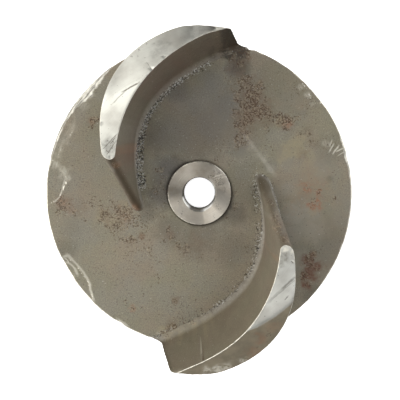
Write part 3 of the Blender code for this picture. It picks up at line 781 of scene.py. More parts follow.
def vane_surface(number, sizes):
    """Points, faces, face slots and point values of one vane, turned to its place.

    The second vane has a paler nose and root fillet, and the cone of its top has gone brown. The
    top is laid straight across between both walls at the height of the turned top, and so is the
    flat underside inside the disc. The cast walls move along their plan normals by a random
    field, the end on the rim is ragged, and the nicks sink the top edge by a smooth step.
    """
    seed = 100 + 50 * number
    rows = vane_rows(sizes, END_SWEEPS[number])
    rows = np.concatenate((rows[:1], rows[:-1], rounded_edge(rows[-1], seed)))
    rows[0, :, 2] = -VANE_SUNK
    levels, count = rows.shape[:2]
    points = rows.reshape(-1, 3)
    faces = loop_quads(levels, count).tolist()
    edge_faces = 3 * count
    slots = [np.repeat((0, 1), (len(faces) - edge_faces, edge_faces))]
    for first, slot in (((levels - 1) * count, 2), (0, 0)):
        index, cap_faces = vane_cap(first, len(points))
        left, right = (points[index[1:, side]][:, None] for side in (0, -1))
        inside = (left + (right - left) * inner_shares(ACROSS_STEPS)[:, None]).reshape(-1, 3)
        if first:
            inside[:, 2] = top_height(inside[:, :2], sizes)
        points = np.concatenate((points, inside))
        faces += cap_faces
        slots.append(np.full(len(cap_faces), slot))
    rest = np.zeros(len(points) - levels * count)

    def on_walls(value):
        """Point values of the walls, with 0 on the top and the underside."""
        return np.concatenate((np.broadcast_to(value, (levels, count)).ravel(), rest))

    bare = on_walls((np.arange(levels) >= levels - 3)[:, None])
    crease = (np.arange(count) - WALL_STEPS - 0.36 * NOSE_STEPS) / (0.22 * NOSE_STEPS)
    height = rows[..., 2]
    fillet = 1.0 - smooth_step(height, 0.15 * sizes.root_fillet, 0.85 * sizes.root_fillet)
    toe = 1.0 - smooth_step(height, 0.15 * MM, 0.9 * MM)
    toe *= crust_share(rows[..., :2].reshape(-1, 2), number > 0).reshape(levels, count)
    past_break = np.linalg.norm(points[:, :2], axis=1) - sizes.break_radius
    past_break += 0.5 * MM * field(points, 4.0 * MM, seed + 5)
    values = {
        # Dark band round the nose: dark skin, and painted shade along its crease.
        "nose": on_walls(np.exp(-(crease**2)) * (1.0 - 0.75 * number)),
        # Lighter root fillet: paler skin and painted light where it faces up.
        "fillet": on_walls(fillet * (1.0 if number else 0.7)),
        "toe": on_walls(toe),
        "cone": smooth_step(past_break, 0.2 * MM, 1.4 * MM) * number,
    }
    cos, sin = math.cos(number * math.pi), math.sin(number * math.pi)
    spin = np.array(((cos, sin, 0.0), (-sin, cos, 0.0), (0.0, 0.0, 1.0)))
    points = points @ spin
    out = np.concatenate((ring_normals(rows).reshape(-1, 2), np.zeros((len(rest), 2))))
    top_z = top_height(points[:, :2], sizes)
    walls = on_walls(1.0) * smooth_step(top_z - points[:, 2], 0.8 * MM, 4.0 * MM)
    lumps = 0.16 * field(points, 11.0 * MM, seed + 2) + 0.07 * field(points, 3.2 * MM, seed + 3)
    points[:, :2] += out @ spin[:2, :2] * (lumps * MM * walls)[:, None]
    ragged = 0.5 + 0.3 * field(points, 4.2 * MM, seed + 4) + 0.3 * field(points, 1.9 * MM, seed + 6)
    at_rim = smooth_step(np.linalg.norm(points[:, :2], axis=1), 123.5 * MM, 124.8 * MM)
    points[:, :2] *= 1.0 - (0.008 * ragged * at_rim)[:, None]
    near_edge = smooth_step(points[:, 2] - top_z, -2.5 * MM, -1.2 * MM)
    for x, y, radius, depth in VANE_NICKS:
        away = np.linalg.norm(points[:, :2] - np.array((x, y)) * MM, axis=1)
        dent = smooth_step(radius * MM - away, 0.0, 0.6 * radius * MM) * near_edge
        points[:, 2] -= depth * MM * dent
        bare = np.maximum(bare, dent * 0.9)
    points[:, 2] += sizes.disc_front
    values.update(bare=bare, **patch_values(points[:, :2], VANE_PATCHES, 300))
    return points, faces, np.concatenate(slots), values


# The disc and the hub


def disc_rows(sizes):
    """Half section of the disc and rear hub as radius, height and kind.

    The kinds are 0 for the front, 1 for the rim, 2 for the back and 3 for the turned rear face
    and shaft bore. Rim edges and the rear hub's fillet are quarter circles.
    """
    front, back, rim = sizes.disc_front, sizes.disc_back, sizes.disc_radius
    shaft, rear, hollow = sizes.shaft_radius, sizes.rear_radius, sizes.rear_fillet
    root = rear + 2.0 * MM
    inside = 22.5 * MM
    rows = [(shaft, front, 0), (inside, front, 0)]
    for step, drop in ((-0.5, 0.0), (0.1, 0.0), (0.3, 0.3), (0.8, 0.4), (1.2, 0.25), (1.6, 0.0)):
        rows.append((sizes.hub_radius + step * MM, front - drop * MM, 0))
    rows += [(r, front, 0) for r in np.linspace(sizes.hub_radius + 2.2 * MM, rim - 17.0 * MM, 64)]
    rows += [(r, front, 0) for r in np.linspace(rim - 16.3 * MM, rim - 1.0 * MM, 30)]
    bend = 0.8 * MM
    arc = [(bend * (1.0 - math.cos(a)), bend * (1.0 - math.sin(a)))
           for a in np.linspace(0.2, QUARTER, 4)]
    rows += [(rim - v, front - u, 1) for u, v in arc]
    rows += [(rim, z, 1) for z in np.linspace(front - 2.0 * MM, back + 2.0 * MM, 5)]
    rows += [(rim - u, back + v, 1) for u, v in arc]
    rows += [(r, back, 2) for r in np.linspace(rim - 3.0 * MM, rear + 9.0 * MM, 14)]
    for a in np.linspace(0.0, QUARTER, 6):
        rows.append((root + hollow * (1.0 - math.sin(a)), back - hollow * (1.0 - math.cos(a)), 2))
    rows += [(root - 2.0 * MM * s, (back - hollow) * (1.0 - s), 2) for s in (0.35, 0.7, 0.95)]
    rows += [(rear - 0.4 * MM, 0.0, 3), (26.0 * MM, 0.0, 3), (inside, 0.0, 3)]
    rows += [(shaft + 1.0 * MM, 0.0, 3), (shaft, 1.0 * MM, 3)]
    rows += [(shaft, z, 3) for z in np.linspace(4.0 * MM, front - 1.0 * MM, 7)]
    return np.array(rows)


def near_line(plan, line):
    """Distance from each plan point to the nearest point of a dense line."""
    nearest = np.full(len(plan), 1.0)
    for place in line:
        nearest = np.minimum(nearest, np.hypot(plan[:, 0] - place[0], plan[:, 1] - place[1]))
    return nearest


def disc_surface(sizes):
    """Points, faces, face slots and point values of the disc with its worn and chipped rim.

    The section is carried round the axis. The front height drops by a straight fall outside the
    ground bevel's inner edge, and by a smooth step across each chip's broken edge, and both
    follow tables of angle and reach. The rim wall shrinks to what is left below them.
    """
    rows = disc_rows(sizes)
    angle = TURN * np.arange(DISC_COLUMNS) / DISC_COLUMNS
    degrees = np.degrees(angle)
    radius, height, kind = (np.repeat(column[:, None], DISC_COLUMNS, axis=1) for column in rows.T)
    rim, front, back = sizes.disc_radius, sizes.disc_front, sizes.disc_back
    swell = table_value(degrees, RIM_SWELL)
    swell -= table_value(degrees, RIM_FLATS) * (0.8 + 0.4 * along_field(angle, 300, 5))
    outer = np.clip((radius - (rim - 8.0 * MM)) / (8.0 * MM), 0.0, 1.0)
    radius += swell * MM * outer
    radius += 0.10 * MM * along_field(angle, 240, 6) * outer * (kind == 1)
    plan = round_axis(radius, angle)
    flat_plan = plan.reshape(-1, 2)
    wander = 0.8 * along_field(angle, 160, 7) + 0.5 * along_field(angle, 420, 8)
    bevel = table_value(degrees, GROUND_BEVEL) * (0.85 + 0.3 * wander) * MM
    past = np.maximum(0.0, radius - (rim + swell * MM - bevel)) * (bevel > 0.0)
    drop = BEVEL_FALL * past
    upper = smooth_step(height, front - 2.0 * MM, front - 0.9 * MM) * (kind < 2)
    ground = smooth_step(past, 0.0, 0.5 * MM) * (bevel > 0.2 * MM) * upper
    bare = np.zeros(radius.shape)
    for number, (depth, edge, bright, line) in enumerate(RIM_CHIPS):
        keys, reach = np.array(line).T
        line = np.interp(degrees, keys, reach, left=200.0, right=200.0)
        line += 0.5 * along_field(angle, 300, 20 + number) + 0.35 * wander
        share = (radius / MM - line) / edge
        drop += depth * MM * smooth_step(share, 0.0, 1.0)
        drop += 0.04 * np.clip(radius - line * MM, 0.0, 1.0) * depth
        ledge = np.clip(1.0 - np.abs(share - 0.5) / 0.75, 0.0, 1.0) ** 0.7
        broken = 0.75 + 0.5 * field(plan, 1.7 * MM, 30 + number)
        bare = np.maximum(bare, ledge * bright * np.clip(broken, 0.0, 1.0))
    lumps = 0.10 * field(plan, 16.0 * MM, 9) + 0.05 * field(plan, 5.0 * MM, 10)
    lumps *= smooth_step(radius, 29.0 * MM, 33.0 * MM)
    left = np.where(kind >= 2, 0.0, np.clip((height - back) / (front - back), 0.0, 1.0))
    height -= left * (drop - lumps * MM * (kind == 0))
    corner = (kind == 1) & (height > back + 0.5 * (front - back))
    shine = table_value(degrees, RIM_SHINE) + 0.45 * along_field(angle, 200, 11)
    bare = np.maximum(bare, corner * np.clip(shine, 0.0, 1.0) * (rows[:, 1:2] > front - 1.5 * MM))
    # Band of dirt and painted shade round the hub face, as wide as the table gives by angle.
    gap = table_value(degrees, HUB_GAP_DIRT_AND_SHADE) * (1.0 + 0.3 * along_field(angle, 70, 13)) * MM
    beyond = radius - sizes.hub_radius
    groove_dirt_and_shade = smooth_step(beyond, -0.5 * MM, 0.0) * (kind == 0)
    groove_dirt_and_shade *= 1.0 - smooth_step(beyond, 0.2 * gap, 1.9 * gap)
    foot = lengthen(cubic(INNER_FOOT, np.linspace(0.0, 1.0, 150)), END_SWEEPS[0][0][1])
    toe = np.zeros(len(flat_plan))
    front_points = np.nonzero(kind.ravel() == 0)[0]
    near = flat_plan[front_points]
    for sign in (1.0, -1.0):
        band = 1.0 - smooth_step(near_line(near, foot * sign), 5.7 * MM, 9.1 * MM)
        band *= crust_share(near * sign, sign < 0.0)
        toe[front_points] = np.maximum(toe[front_points], band)
    quads = loop_quads(len(rows), DISC_COLUMNS, close_rows=True)
    slots = kind.ravel()[quads].max(axis=1) == 3
    values = {"bare": bare * upper, "toe": toe, "groove_dirt_and_shade": groove_dirt_and_shade, "ground": ground, "front": upper}
    for key, value in patch_values(flat_plan, DISC_PATCHES, 200).items():
        values[key] = value * (kind.ravel() < 2)
    points = np.concatenate((plan, height[..., None]), axis=-1).reshape(-1, 3)
    return points, quads.tolist(), slots, values


def hub_surface(sizes):
    """Points, faces, face slots and point values of the turned boss with its hole.

    The section is carried round the axis. The chamfer's width follows a table of angles, and its
    depth is a fixed share of its width. The face's outer edge is a quarter circle.
    """
    angle = TURN * np.arange(HUB_COLUMNS) / HUB_COLUMNS
    degrees = np.degrees(angle)
    top = sizes.hub_face
    neck = top - 7.0 * MM
    hole = sizes.hole_radius
    outer = sizes.hub_radius + 0.05 * MM * along_field(angle, 180, 41)
    wide = table_value(degrees, CHAMFER_WIDTH) * (1.0 + 0.08 * along_field(angle, 90, 42)) * MM
    depth = wide * CHAMFER_FALL
    bend = (0.4 + 0.12 * along_field(angle, 150, 43)) * MM
    rows = [(hole + 0.5 * MM, neck), (0.5 * (hole + outer), neck), (outer + 0.2 * MM, neck)]
    rows += [(outer + 0.1 * MM, neck + 4.6 * MM), (outer, top - bend)]
    for a in (0.4, 0.8, 1.2, QUARTER):
        rows.append((outer - bend * (1.0 - math.cos(a)), top - bend * (1.0 - math.sin(a))))
    first_edge, last_edge = 4, len(rows)
    start = outer - bend
    for share in inner_shares(25):
        wave = 0.012 * MM * math.sin(share * 61.0)
        rows.append((start + (hole + wide - start) * share, top + wave))
    first_cut = len(rows)
    rows += [(hole + wide * (1.0 - s), top - depth * s) for s in (0.0, 0.06, 0.3, 0.6, 0.94, 1.0)]
    first_wall = len(rows)
    rows += [(hole, top - depth + (neck - top + depth) * s) for s in (0.2, 0.6, 0.93)]
    rows.append((hole + 0.15 * MM, neck + 0.1 * MM))
    points = np.array([round_axis(r, angle, z) for r, z in rows])
    bare, cut, painted_glint = np.zeros((3, *points.shape[:2]))
    edge_wear_and_glints = table_value(degrees, HUB_EDGE_WEAR_AND_GLINTS)
    # Wear along the hub face's edge, with painted glints from the table.
    bare[first_edge:last_edge] = np.clip(0.2 + edge_wear_and_glints + 1.2 * along_field(angle, 110, 44), 0.0, 1.2)
    cut[first_cut + 1:] = 1.0
    # Painted glints on the chamfer by angle, turning to painted shade towards the hole.
    painted_glint[first_cut:first_wall] = table_value(degrees, CHAMFER_PAINTED_GLINT)
    painted_glint[first_cut:first_wall] *= np.array((1.0, 1.0, 1.0, 0.6, 0.1, 0.0))[:, None]
    # Painted sheen: the hub face lighter or darker by angle.
    painted_sheen = np.tile(table_value(degrees, HUB_PAINTED_SHEEN), len(rows))
    values = {"bare": bare, "cut": cut, "painted_glint": painted_glint, "painted_sheen": painted_sheen}
    points = points.reshape(-1, 3)
    for key, value in patch_values(points[:, :2], HUB_PATCHES, 400).items():
        values[key] = value * (1.0 - cut.ravel())
    faces = loop_quads(len(rows), HUB_COLUMNS, close_rows=True).tolist()
    return points, faces, np.zeros(len(faces)), values


# Shader nodes


class Net:
    """Adds nodes to one tree. Any input takes a number, a colour, a vector or another output."""

    def __init__(self, tree):
        self.tree = tree

    def feed(self, socket, value):
        """Give an input a fixed value or another node's output."""
        if isinstance(value, bpy.types.NodeSocket):
            self.tree.links.new(value, socket)
        else:
            socket.default_value = value

    def all_of(self, kind, inputs=None, **settings):
        """Add one node with its settings and inputs, and give its outputs."""
        node = self.tree.nodes.new(kind)
        for key, value in settings.items():
            setattr(node, key, value)
        for key, value in (inputs or {}).items():
            self.feed(node.inputs[key], value)
        return node.outputs

    def add(self, kind, inputs=None, out=0, **settings):
        """Add one node with its settings and inputs, and give the wanted output."""
        return self.all_of(kind, inputs, **settings)[out]

    def group(self, tree, inputs=None):
        """Place a node group, and give its outputs."""
        return self.all_of("ShaderNodeGroup", inputs, node_tree=tree)

    def math(self, operation, a, b=0.0, clamp=False):
        """One step of arithmetic."""
        return self.add("ShaderNodeMath", {0: a, 1: b}, operation=operation, use_clamp=clamp)

    def times(self, a, b):
        """Product of two numbers."""
        return self.math("MULTIPLY", a, b)

    def plus(self, a, b, share=1.0):
        """First number and a share of the second."""
        return self.math("ADD", a, b if share == 1.0 else self.times(b, share))

    def minus(self, a, b):
        """First number less the second."""
        return self.math("SUBTRACT", a, b)

    def vector(self, operation, a, b=(0.0, 0.0, 0.0), out=0):
        """One step of vector arithmetic; out 1 is the number that some steps give."""
        return self.add("ShaderNodeVectorMath", {0: a, 1: b}, out=out, operation=operation)

    def combine(self, x, y, z=0.0):
        """Vector of three numbers."""
        return self.add("ShaderNodeCombineXYZ", {0: x, 1: y, 2: z})

    def mix(self, share, a, b):
        """Colour a turned into colour b by a share."""
        return self.add("ShaderNodeMix", {0: share, 6: a, 7: b}, out=2, data_type="RGBA")

    def step(self, value, low, high, start=0.0, end=1.0):
        """Smooth step of a value from low to high, giving start to end."""
        inputs = {0: value, 1: low, 2: high, 3: start, 4: end}
        return self.add("ShaderNodeMapRange", inputs, interpolation_type="SMOOTHSTEP")

    def place(self):
        """Place on the object, in metres."""
        return self.add("ShaderNodeTexCoord", out="Object")

    def flat_place(self):
        """Place on the object seen along its axis."""
        return self.vector("MULTIPLY", self.place(), (1.0, 1.0, 0.0))

    def noise(self, scale, offset=0.0, detail=3.0, roughness=0.6, place=None):
        """Noise of a scale, moved by an offset so that no two layers look alike."""
        moved = self.vector("ADD", place or self.place(), (offset, offset * 1.7, offset * 0.6))
        inputs = {"Vector": moved, "Scale": scale, "Detail": detail, "Roughness": roughness}
        return self.add("ShaderNodeTexNoise", inputs)

    def cloud(self, scale, offset, low, high, start=0.0, end=1.0, **kind):
        """Smooth step of a noise."""
        return self.step(self.noise(scale, offset, **kind), low, high, start, end)

    def jitter(self, place, scale, reach):
        """A place moved by a noise in colour, up to half the reach each way."""
        bend = self.add("ShaderNodeTexNoise", {"Vector": place, "Scale": scale}, out="Color")
        bend = self.vector("SUBTRACT", bend, (0.5, 0.5, 0.5))
        return self.vector("ADD", place, self.vector("MULTIPLY", bend, reach))

    def value(self, name):
        """A number that the mesh carries at each point."""
        return self.add("ShaderNodeAttribute", out="Fac", attribute_name=name)


def effect(inputs, outputs):
    """Make a function build its node group once, under its own name.

    The function is given the net and the named inputs, and gives the outputs in order.
    """

    def shared(build):
        @wraps(build)
        def tree():
            made = bpy.data.node_groups.get(build.__name__)
            if made is None:
                made = bpy.data.node_groups.new(build.__name__, "ShaderNodeTree")
                for key, default in inputs.items():
                    kind = "NodeSocketVector" if isinstance(default, tuple) else "NodeSocketFloat"
                    socket = made.interface.new_socket(name=key, in_out="INPUT", socket_type=kind)
                    socket.default_value = default
                for key in outputs:
                    made.interface.new_socket(
                        name=key, in_out="OUTPUT", socket_type="NodeSocketFloat")
                given = made.nodes.new("NodeGroupInput").outputs
                ends = made.nodes.new("NodeGroupOutput").inputs
                net = Net(made)
                for key, value in zip(outputs, build(net, given)):
                    net.feed(ends[key], value)
            return made
        return tree
    return shared


@effect({"Share": 0.5, "Fineness": 900.0, "Size": 0.4}, ("Mask",))
def round_specks(net, given):
    """Effect: round specks of uneven size, as many as the given share of places."""
    place = net.jitter(net.place(), 900.0, (0.0009, 0.0009, 0.0009))
    cells = net.all_of("ShaderNodeTexVoronoi", {"Vector": place, "Scale": given["Fineness"]})
    chance = net.all_of("ShaderNodeSeparateColor", {0: cells["Color"]})
    there = net.math("LESS_THAN", chance[0], given["Share"])
    size = net.times(given["Size"], net.step(chance[1], 0.0, 1.0, 0.45, 1.25))
    share = net.math("DIVIDE", cells["Distance"], size)
    return (net.times(net.step(share, 0.65, 1.05, 1.0, 0.0), there),)


@effect({"Share": 0.5, "Fineness": 330.0, "Shift": 0.0}, ("Dark", "Pale"))
def rust_curls(net, given):
    """Effect: short curls of scale and pale crumbs between them, denser with the share.

    Both follow the line where a noise crosses its middle, broken up by a finer noise.
    """
    place = net.vector("ADD", net.place(), given["Shift"])
    split = net.times(net.minus(net.noise(700.0, 8.3, 2.0, 0.6, place), 0.5), 2.6)
    for offset in (0.4, 5.9):
        line = net.noise(given["Fineness"], offset, 2.0, 0.55, place)
        off = net.math("ABSOLUTE", net.minus(line, 0.5))
        there = net.step(net.plus(given["Share"], split), 0.4, 0.75)
        yield net.times(net.step(off, 0.02, 0.085, 1.0, 0.0), there)
        split = net.times(split, -1.0)


@effect({"Pit Share": 0.5}, ("Mottling", "Grain", "Pits", "Height"))
def cast_skin(net, given):
    """Effect: sand-cast skin, as slow mottling, fine grain, small pits and a height."""
    grain = net.noise(1000.0, 0.3, 2.0, 0.75)
    coarse = net.noise(190.0, 0.7, 2.0, 0.5)
    where = net.cloud(38.0, 1.1, 0.42, 0.68)
    share = net.times(net.plus(0.03, where, 0.28), given["Pit Share"])
    pits = net.group(round_specks(), {"Share": share, "Fineness": 760.0, "Size": 0.36})[0]
    height = net.plus(net.plus(net.times(grain, 0.35), coarse, 0.65), pits, -0.9)
    return net.noise(26.0, 0.0, 4.0), grain, pits, height


@effect({"Cover": 0.0}, ("Mask",))
def uneven_stain(net, given):
    """Effect: a soft stain that a fine noise makes uneven."""
    cloud = net.cloud(420.0, 6.1, 0.3, 0.7, 0.5, 1.15, roughness=0.65)
    return (net.math("MULTIPLY", given["Cover"], cloud, clamp=True),)


@effect({"From": (0.0, 0.0, 0.0), "To": (0.01, 0.0, 0.0), "Width": 0.0005}, ("Mask",))
def score_mark(net, given):
    """Effect: a broken scratch in plan from one place to another."""
    place = net.jitter(net.flat_place(), 260.0, (0.0012, 0.0012, 0.0))
    along = net.vector("SUBTRACT", given["To"], given["From"])
    reach = net.vector("SUBTRACT", place, given["From"])
    done = net.vector("DOT_PRODUCT", reach, along, out=1)
    whole = net.vector("DOT_PRODUCT", along, along, out=1)
    share = net.math("DIVIDE", done, whole, clamp=True)
    nearest = net.add("ShaderNodeVectorMath", {0: along, "Scale": share}, operation="SCALE")
    core = net.math("DIVIDE", net.vector("DISTANCE", reach, nearest, out=1), given["Width"])
    core = net.plus(core, net.noise(700.0, 3.1, 2.0, 0.6, place), 0.5)
    taper = net.step(net.math("ABSOLUTE", net.minus(share, 0.5)), 0.3, 0.5, 1.0, 0.45)
    return (net.times(net.step(core, 0.45, 1.0, 1.0, 0.0), taper),)


@effect({"Rings": 1500.0}, ("Tone", "Height"))
def lathe_rings(net, given):
    """Effect: fine uneven rings round the axis that a lathe tool leaves."""
    across = net.times(net.vector("LENGTH", net.flat_place(), out=1), given["Rings"])
    inputs = {"W": across, "Scale": 1.0, "Detail": 3.0}
    fine = net.add("ShaderNodeTexNoise", inputs, noise_dimensions="1D")
    slow = net.cloud(60.0, 4.1, 0.3, 0.7, 0.5, 1.2, detail=2.0, roughness=0.5)
    return net.times(net.minus(fine, 0.5), slow), fine


@effect({"Wear": 0.0}, ("Mask",))
def worn_metal(net, given):
    """Effect: a carried wear value broken up into bright and dull flecks."""
    level = net.plus(given["Wear"], net.noise(520.0, 5.3, 2.0), 0.9)
    return (net.step(level, 0.72, 1.05),)


@effect({}, ("Mask",))
def rim_streaks(net, given):
    """Effect: streaks that run along the rim, as a grinder leaves them."""
    split = net.all_of("ShaderNodeSeparateXYZ", {0: net.place()})
    turn = net.math("ARCTAN2", split[1], split[0])
    reach = net.vector("LENGTH", net.flat_place(), out=1)
    place = net.combine(net.times(turn, 11.0), net.times(reach, 760.0))
    return (net.cloud(1.0, 2.0, 0.44, 0.58, roughness=0.65, place=place),)


class Skin(Net):
    """A new material's tree, with the base colour that its layers build up."""

    def __init__(self, name, colours):
        self.material = bpy.data.materials.new(name)
        self.material.use_nodes = True
        self.colours = colours
        self.shader = self.material.node_tree.nodes["Principled BSDF"]
        super().__init__(self.material.node_tree)

    def paint(self, key):
        """One of the panel's colours with full cover."""
        return (*getattr(self.colours, key), 1.0)

    def start(self, share, first, second):
        """Begin the base as one colour turned into another by a share."""
        self.base = self.mix(share, self.paint(first), self.paint(second))

    def shaded(self, colour, number):
        """A colour made lighter or darker by a number."""
        return self.vector("MULTIPLY", colour, self.combine(number, number, number))

    def shade(self, number):
        """Make the base lighter or darker by a number."""
        self.base = self.shaded(self.base, number)

    def layers(self, *rows):
        """Cover the base with colours in turn, each by a mask, up to its cover.

        A mask that is a name is the soft stain that the mesh carries under it.
        """
        for colour, mask, cover in rows:
            if isinstance(mask, str):
                mask = self.stain(mask)
            self.base = self.mix(self.times(mask, cover), self.base, self.paint(colour))

    def stain(self, key):
        """Mask of the soft stain that the mesh carries under a name."""
        return self.group(uneven_stain(), {"Cover": self.value(key)})[0]

    def curls(self, key, fineness, shift):
        """Masks of the curls and crumbs where the mesh carries a share under a name."""
        given = {"Share": self.value(key), "Fineness": fineness, "Shift": shift}
        return self.group(rust_curls(), given)

    def scratches(self, rows):
        """Highest mask of scratches given as plan places, width in millimetres and strength."""
        total = None
        for x, y, u, v, width, power in rows:
            ends = {"From": (x * MM, y * MM, 0.0), "To": (u * MM, v * MM, 0.0), "Width": width * MM}
            mask = self.times(self.group(score_mark(), ends)[0], power)
            total = mask if total is None else self.math("MAXIMUM", total, mask)
        return total

    def finish(self, metallic, roughness, strength, distance, height, spread=0.0):
        """Put the surface shader on, with a bump from a height.

        The spread is how far tool marks round the axis spread the light straight out from it.
        """
        inputs = {"Strength": strength, "Distance": distance, "Height": height}
        normal = self.add("ShaderNodeBump", inputs)
        ends = {"Metallic": metallic, "Roughness": roughness, "Normal": normal}
        if spread:
            ends.update(Tangent=self.flat_place(), Anisotropic=spread)
        for key, value in {"Base Color": self.base, **ends}.items():
            self.feed(self.shader.inputs[key], value)
        return self.material


# Materials


def disc_iron(colours):
    """Weathered skin of the disc: olive iron with rust patches, toe crust and bright worn rim."""
    skin = Skin("disc_iron", colours)
    value, times = skin.value, skin.times
    cast = skin.group(cast_skin(), {"Pit Share": 0.6})
    streaks = skin.group(rim_streaks())[0]
    scale = skin.curls("scale", 460.0, 0.0)
    crust = skin.curls("toe", 480.0, 3.0)
    front, ground = value("front"), value("ground")
    skin.start(skin.step(cast["Mottling"], 0.36, 0.64), "iron", "iron_warm")
    skin.layers(
        ("iron_grey", skin.cloud(44.0, 14.0, 0.4, 0.66, 0.0, 0.55), 1.0),
        # Darker skin and painted shade.
        ("iron_dark", value("dim_skin_and_shade"), 0.55),
        # Painted shade with a cooler tint.
        ("cool_shade", value("cool_shade"), 0.6),
        # Painted light that lifts the shade beside the second vane.
        ("pale", value("painted_light_in_shadow"), 0.45),
    )
    grain = times(skin.step(cast["Grain"], 0.25, 0.75, -0.22, 0.22),
                  skin.step(value("calm"), 0.0, 1.0, 1.0, 0.22))
    skin.shade(skin.plus(grain, 1.0))
    mottled = skin.cloud(330.0, 8.0, 0.38, 0.6, 0.25, 1.0, roughness=0.7)
    skin.layers(
        ("ochre", "ochre", 0.6),
        ("pit", cast["Pits"], 0.5),
        ("pale", "rubbed", 0.45),
        ("pale", times(value("rubbed"), streaks), 0.5),
        ("rust_brown", "brown", 0.72),
        ("rust_red", times(skin.stain("red"), mottled), 0.85),
        ("rust_deep", "deep", 0.94),
        ("flake", scale["Pale"], 0.5),
        # Dark crust and painted shade at the first vane's end.
        ("crust_and_shade", "crust_and_shade", 0.84),
        ("rust_dark", scale["Dark"], 0.95),
        ("crumb", crust["Pale"], 0.9),
        ("soot", crust["Dark"], 0.95),
        # Dirt and painted shade in the gap round the hub face.
        ("gap", value("groove_dirt_and_shade"), 0.84),
        ("pale", times(skin.scratches(CHIP_LINES), front), 0.9),
        ("ground", ground, 1.0),
        ("ground_dark", times(ground, streaks), 0.78),
    )
    wear = times(value("bare"), skin.step(streaks, 0.0, 1.0, 0.8, 1.35))
    wear = skin.group(worn_metal(), {"Wear": wear})[0]
    lines = times(skin.scratches(DISC_SCRATCHES), front)
    bright = skin.math("MAXIMUM", wear, times(lines, 0.6))
    skin.layers(("bright", bright, 1.0))
    height = skin.plus(cast["Height"], crust["Dark"], -1.5)
    height = skin.plus(skin.plus(height, scale["Pale"], 0.6), scale["Dark"], -0.6)
    metallic = times(skin.math("MAXIMUM", wear, ground), 0.35)
    return skin.finish(metallic, skin.step(bright, 0.0, 1.0, 0.62, 0.45), 0.5, 0.0004, height)


def vane_iron(colours):
    """Weathered skin of the vanes: browner than the disc, lighter in the root fillet."""
    skin = Skin("vane_iron", colours)
    value = skin.value
    cast = skin.group(cast_skin(), {"Pit Share": 0.35})
    scale = skin.curls("scale", 480.0, 1.0)
    crust = skin.curls("toe", 480.0, 3.0)
    skin.start(skin.step(cast["Mottling"], 0.35, 0.65), "wall", "wall_warm")
    skin.layers(("wall_red", "ruddy", 0.8), ("olive", value("olive"), 0.45))
    upright = skin.vector("MULTIPLY", skin.place(), (1.0, 1.0, 0.25))
    skin.shade(skin.cloud(150.0, 19.0, 0.3, 0.7, 0.95, 1.05, place=upright))
    skin.shade(skin.step(cast["Grain"], 0.25, 0.75, 0.9, 1.1))
    rough_foot = skin.cloud(300.0, 15.0, 0.3, 0.7, 0.45, 1.0)
    skin.layers(
        # Lighter root fillet: paler skin and painted light where it faces up.
        ("fillet", skin.times(value("fillet"), rough_foot), 1.0),
        ("ochre", "sand", 0.5),
        # Dark skin and painted shade along the noses' crease.
        ("nose", value("nose"), 0.9),
        # Painted highlight along the noses, in the fillet's colour.
        ("fillet", "painted_highlight", 0.85),
        # Painted shade in the nose's foot recess, in the nose colour.
        ("nose", value("nose_recess_shade"), 0.75),
        ("rust_brown", "brown", 0.5),
        ("rust_red", "red", 0.6),
        ("nose", skin.scratches(WALL_MARKS), 0.8),
        ("pale", skin.scratches(WALL_LINES), 0.8),
        ("pit", cast["Pits"], 0.4),
        ("flake", scale["Pale"], 0.65),
        # Dark crust and painted shade at the first vane's end.
        ("crust_and_shade", "crust_and_shade", 0.84),
        ("rust_dark", scale["Dark"], 0.7),
        ("crumb", crust["Pale"], 0.8),
        ("soot", crust["Dark"], 0.9),
    )
    return skin.finish(0.0, 0.6, 0.45, 0.0004, skin.minus(cast["Height"], crust["Dark"]))


def edge_metal(colours):
    """Bright burred edge of the turned tops."""
    skin = Skin("edge_metal", colours)
    flecks = skin.noise(420.0, 9.0, 2.0)
    skin.start(skin.step(flecks, 0.3, 0.62), "turned_dull", "bright")
    return skin.finish(0.5, 0.42, 0.3, 0.0003, flecks)


def turned_top(colours):
    """Turned tops of the vanes: bright metal with rings, scratches, stains and scuffs."""
    skin = Skin("turned_top", colours)
    rings = skin.group(lathe_rings(), {"Rings": 1300.0})
    skin.start(skin.cloud(55.0, 11.0, 0.35, 0.7, roughness=0.5), "turned", "turned_dull")
    skin.shade(skin.plus(1.0, rings["Tone"], 0.15))
    stained, rust, cone = skin.stain("top_stain"), skin.stain("top_rust"), skin.value("cone")
    skin.layers(("stain", stained, 0.7))
    mottle = skin.cloud(90.0, 20.0, 0.3, 0.7, 0.85, 1.15)
    skin.base = skin.mix(cone, skin.base, skin.shaded(skin.paint("cone_stain")[:3], mottle))
    lines = skin.scratches(TOP_SCRATCHES)
    scuffs = skin.times(skin.stain("scuff"), skin.cloud(330.0, 16.0, 0.36, 0.56))
    skin.layers(
        ("rust_red", rust, 0.5),
        ("rust_dark", skin.curls("top_scale", 420.0, 2.0)["Dark"], 0.8),
        ("score", lines, 1.0),
        ("bright", scuffs, 1.0),
    )
    dull = stained
    for mask in (rust, scuffs, cone):
        dull = skin.math("MAXIMUM", dull, mask)
    metallic = skin.step(dull, 0.0, 1.0, 1.0, 0.15)
    roughness = skin.step(dull, 0.0, 1.0, 0.33, 0.6)
    height = skin.plus(rings["Height"], lines, -2.0)
    return skin.finish(metallic, roughness, 0.12, 0.0002, height, spread=0.7)


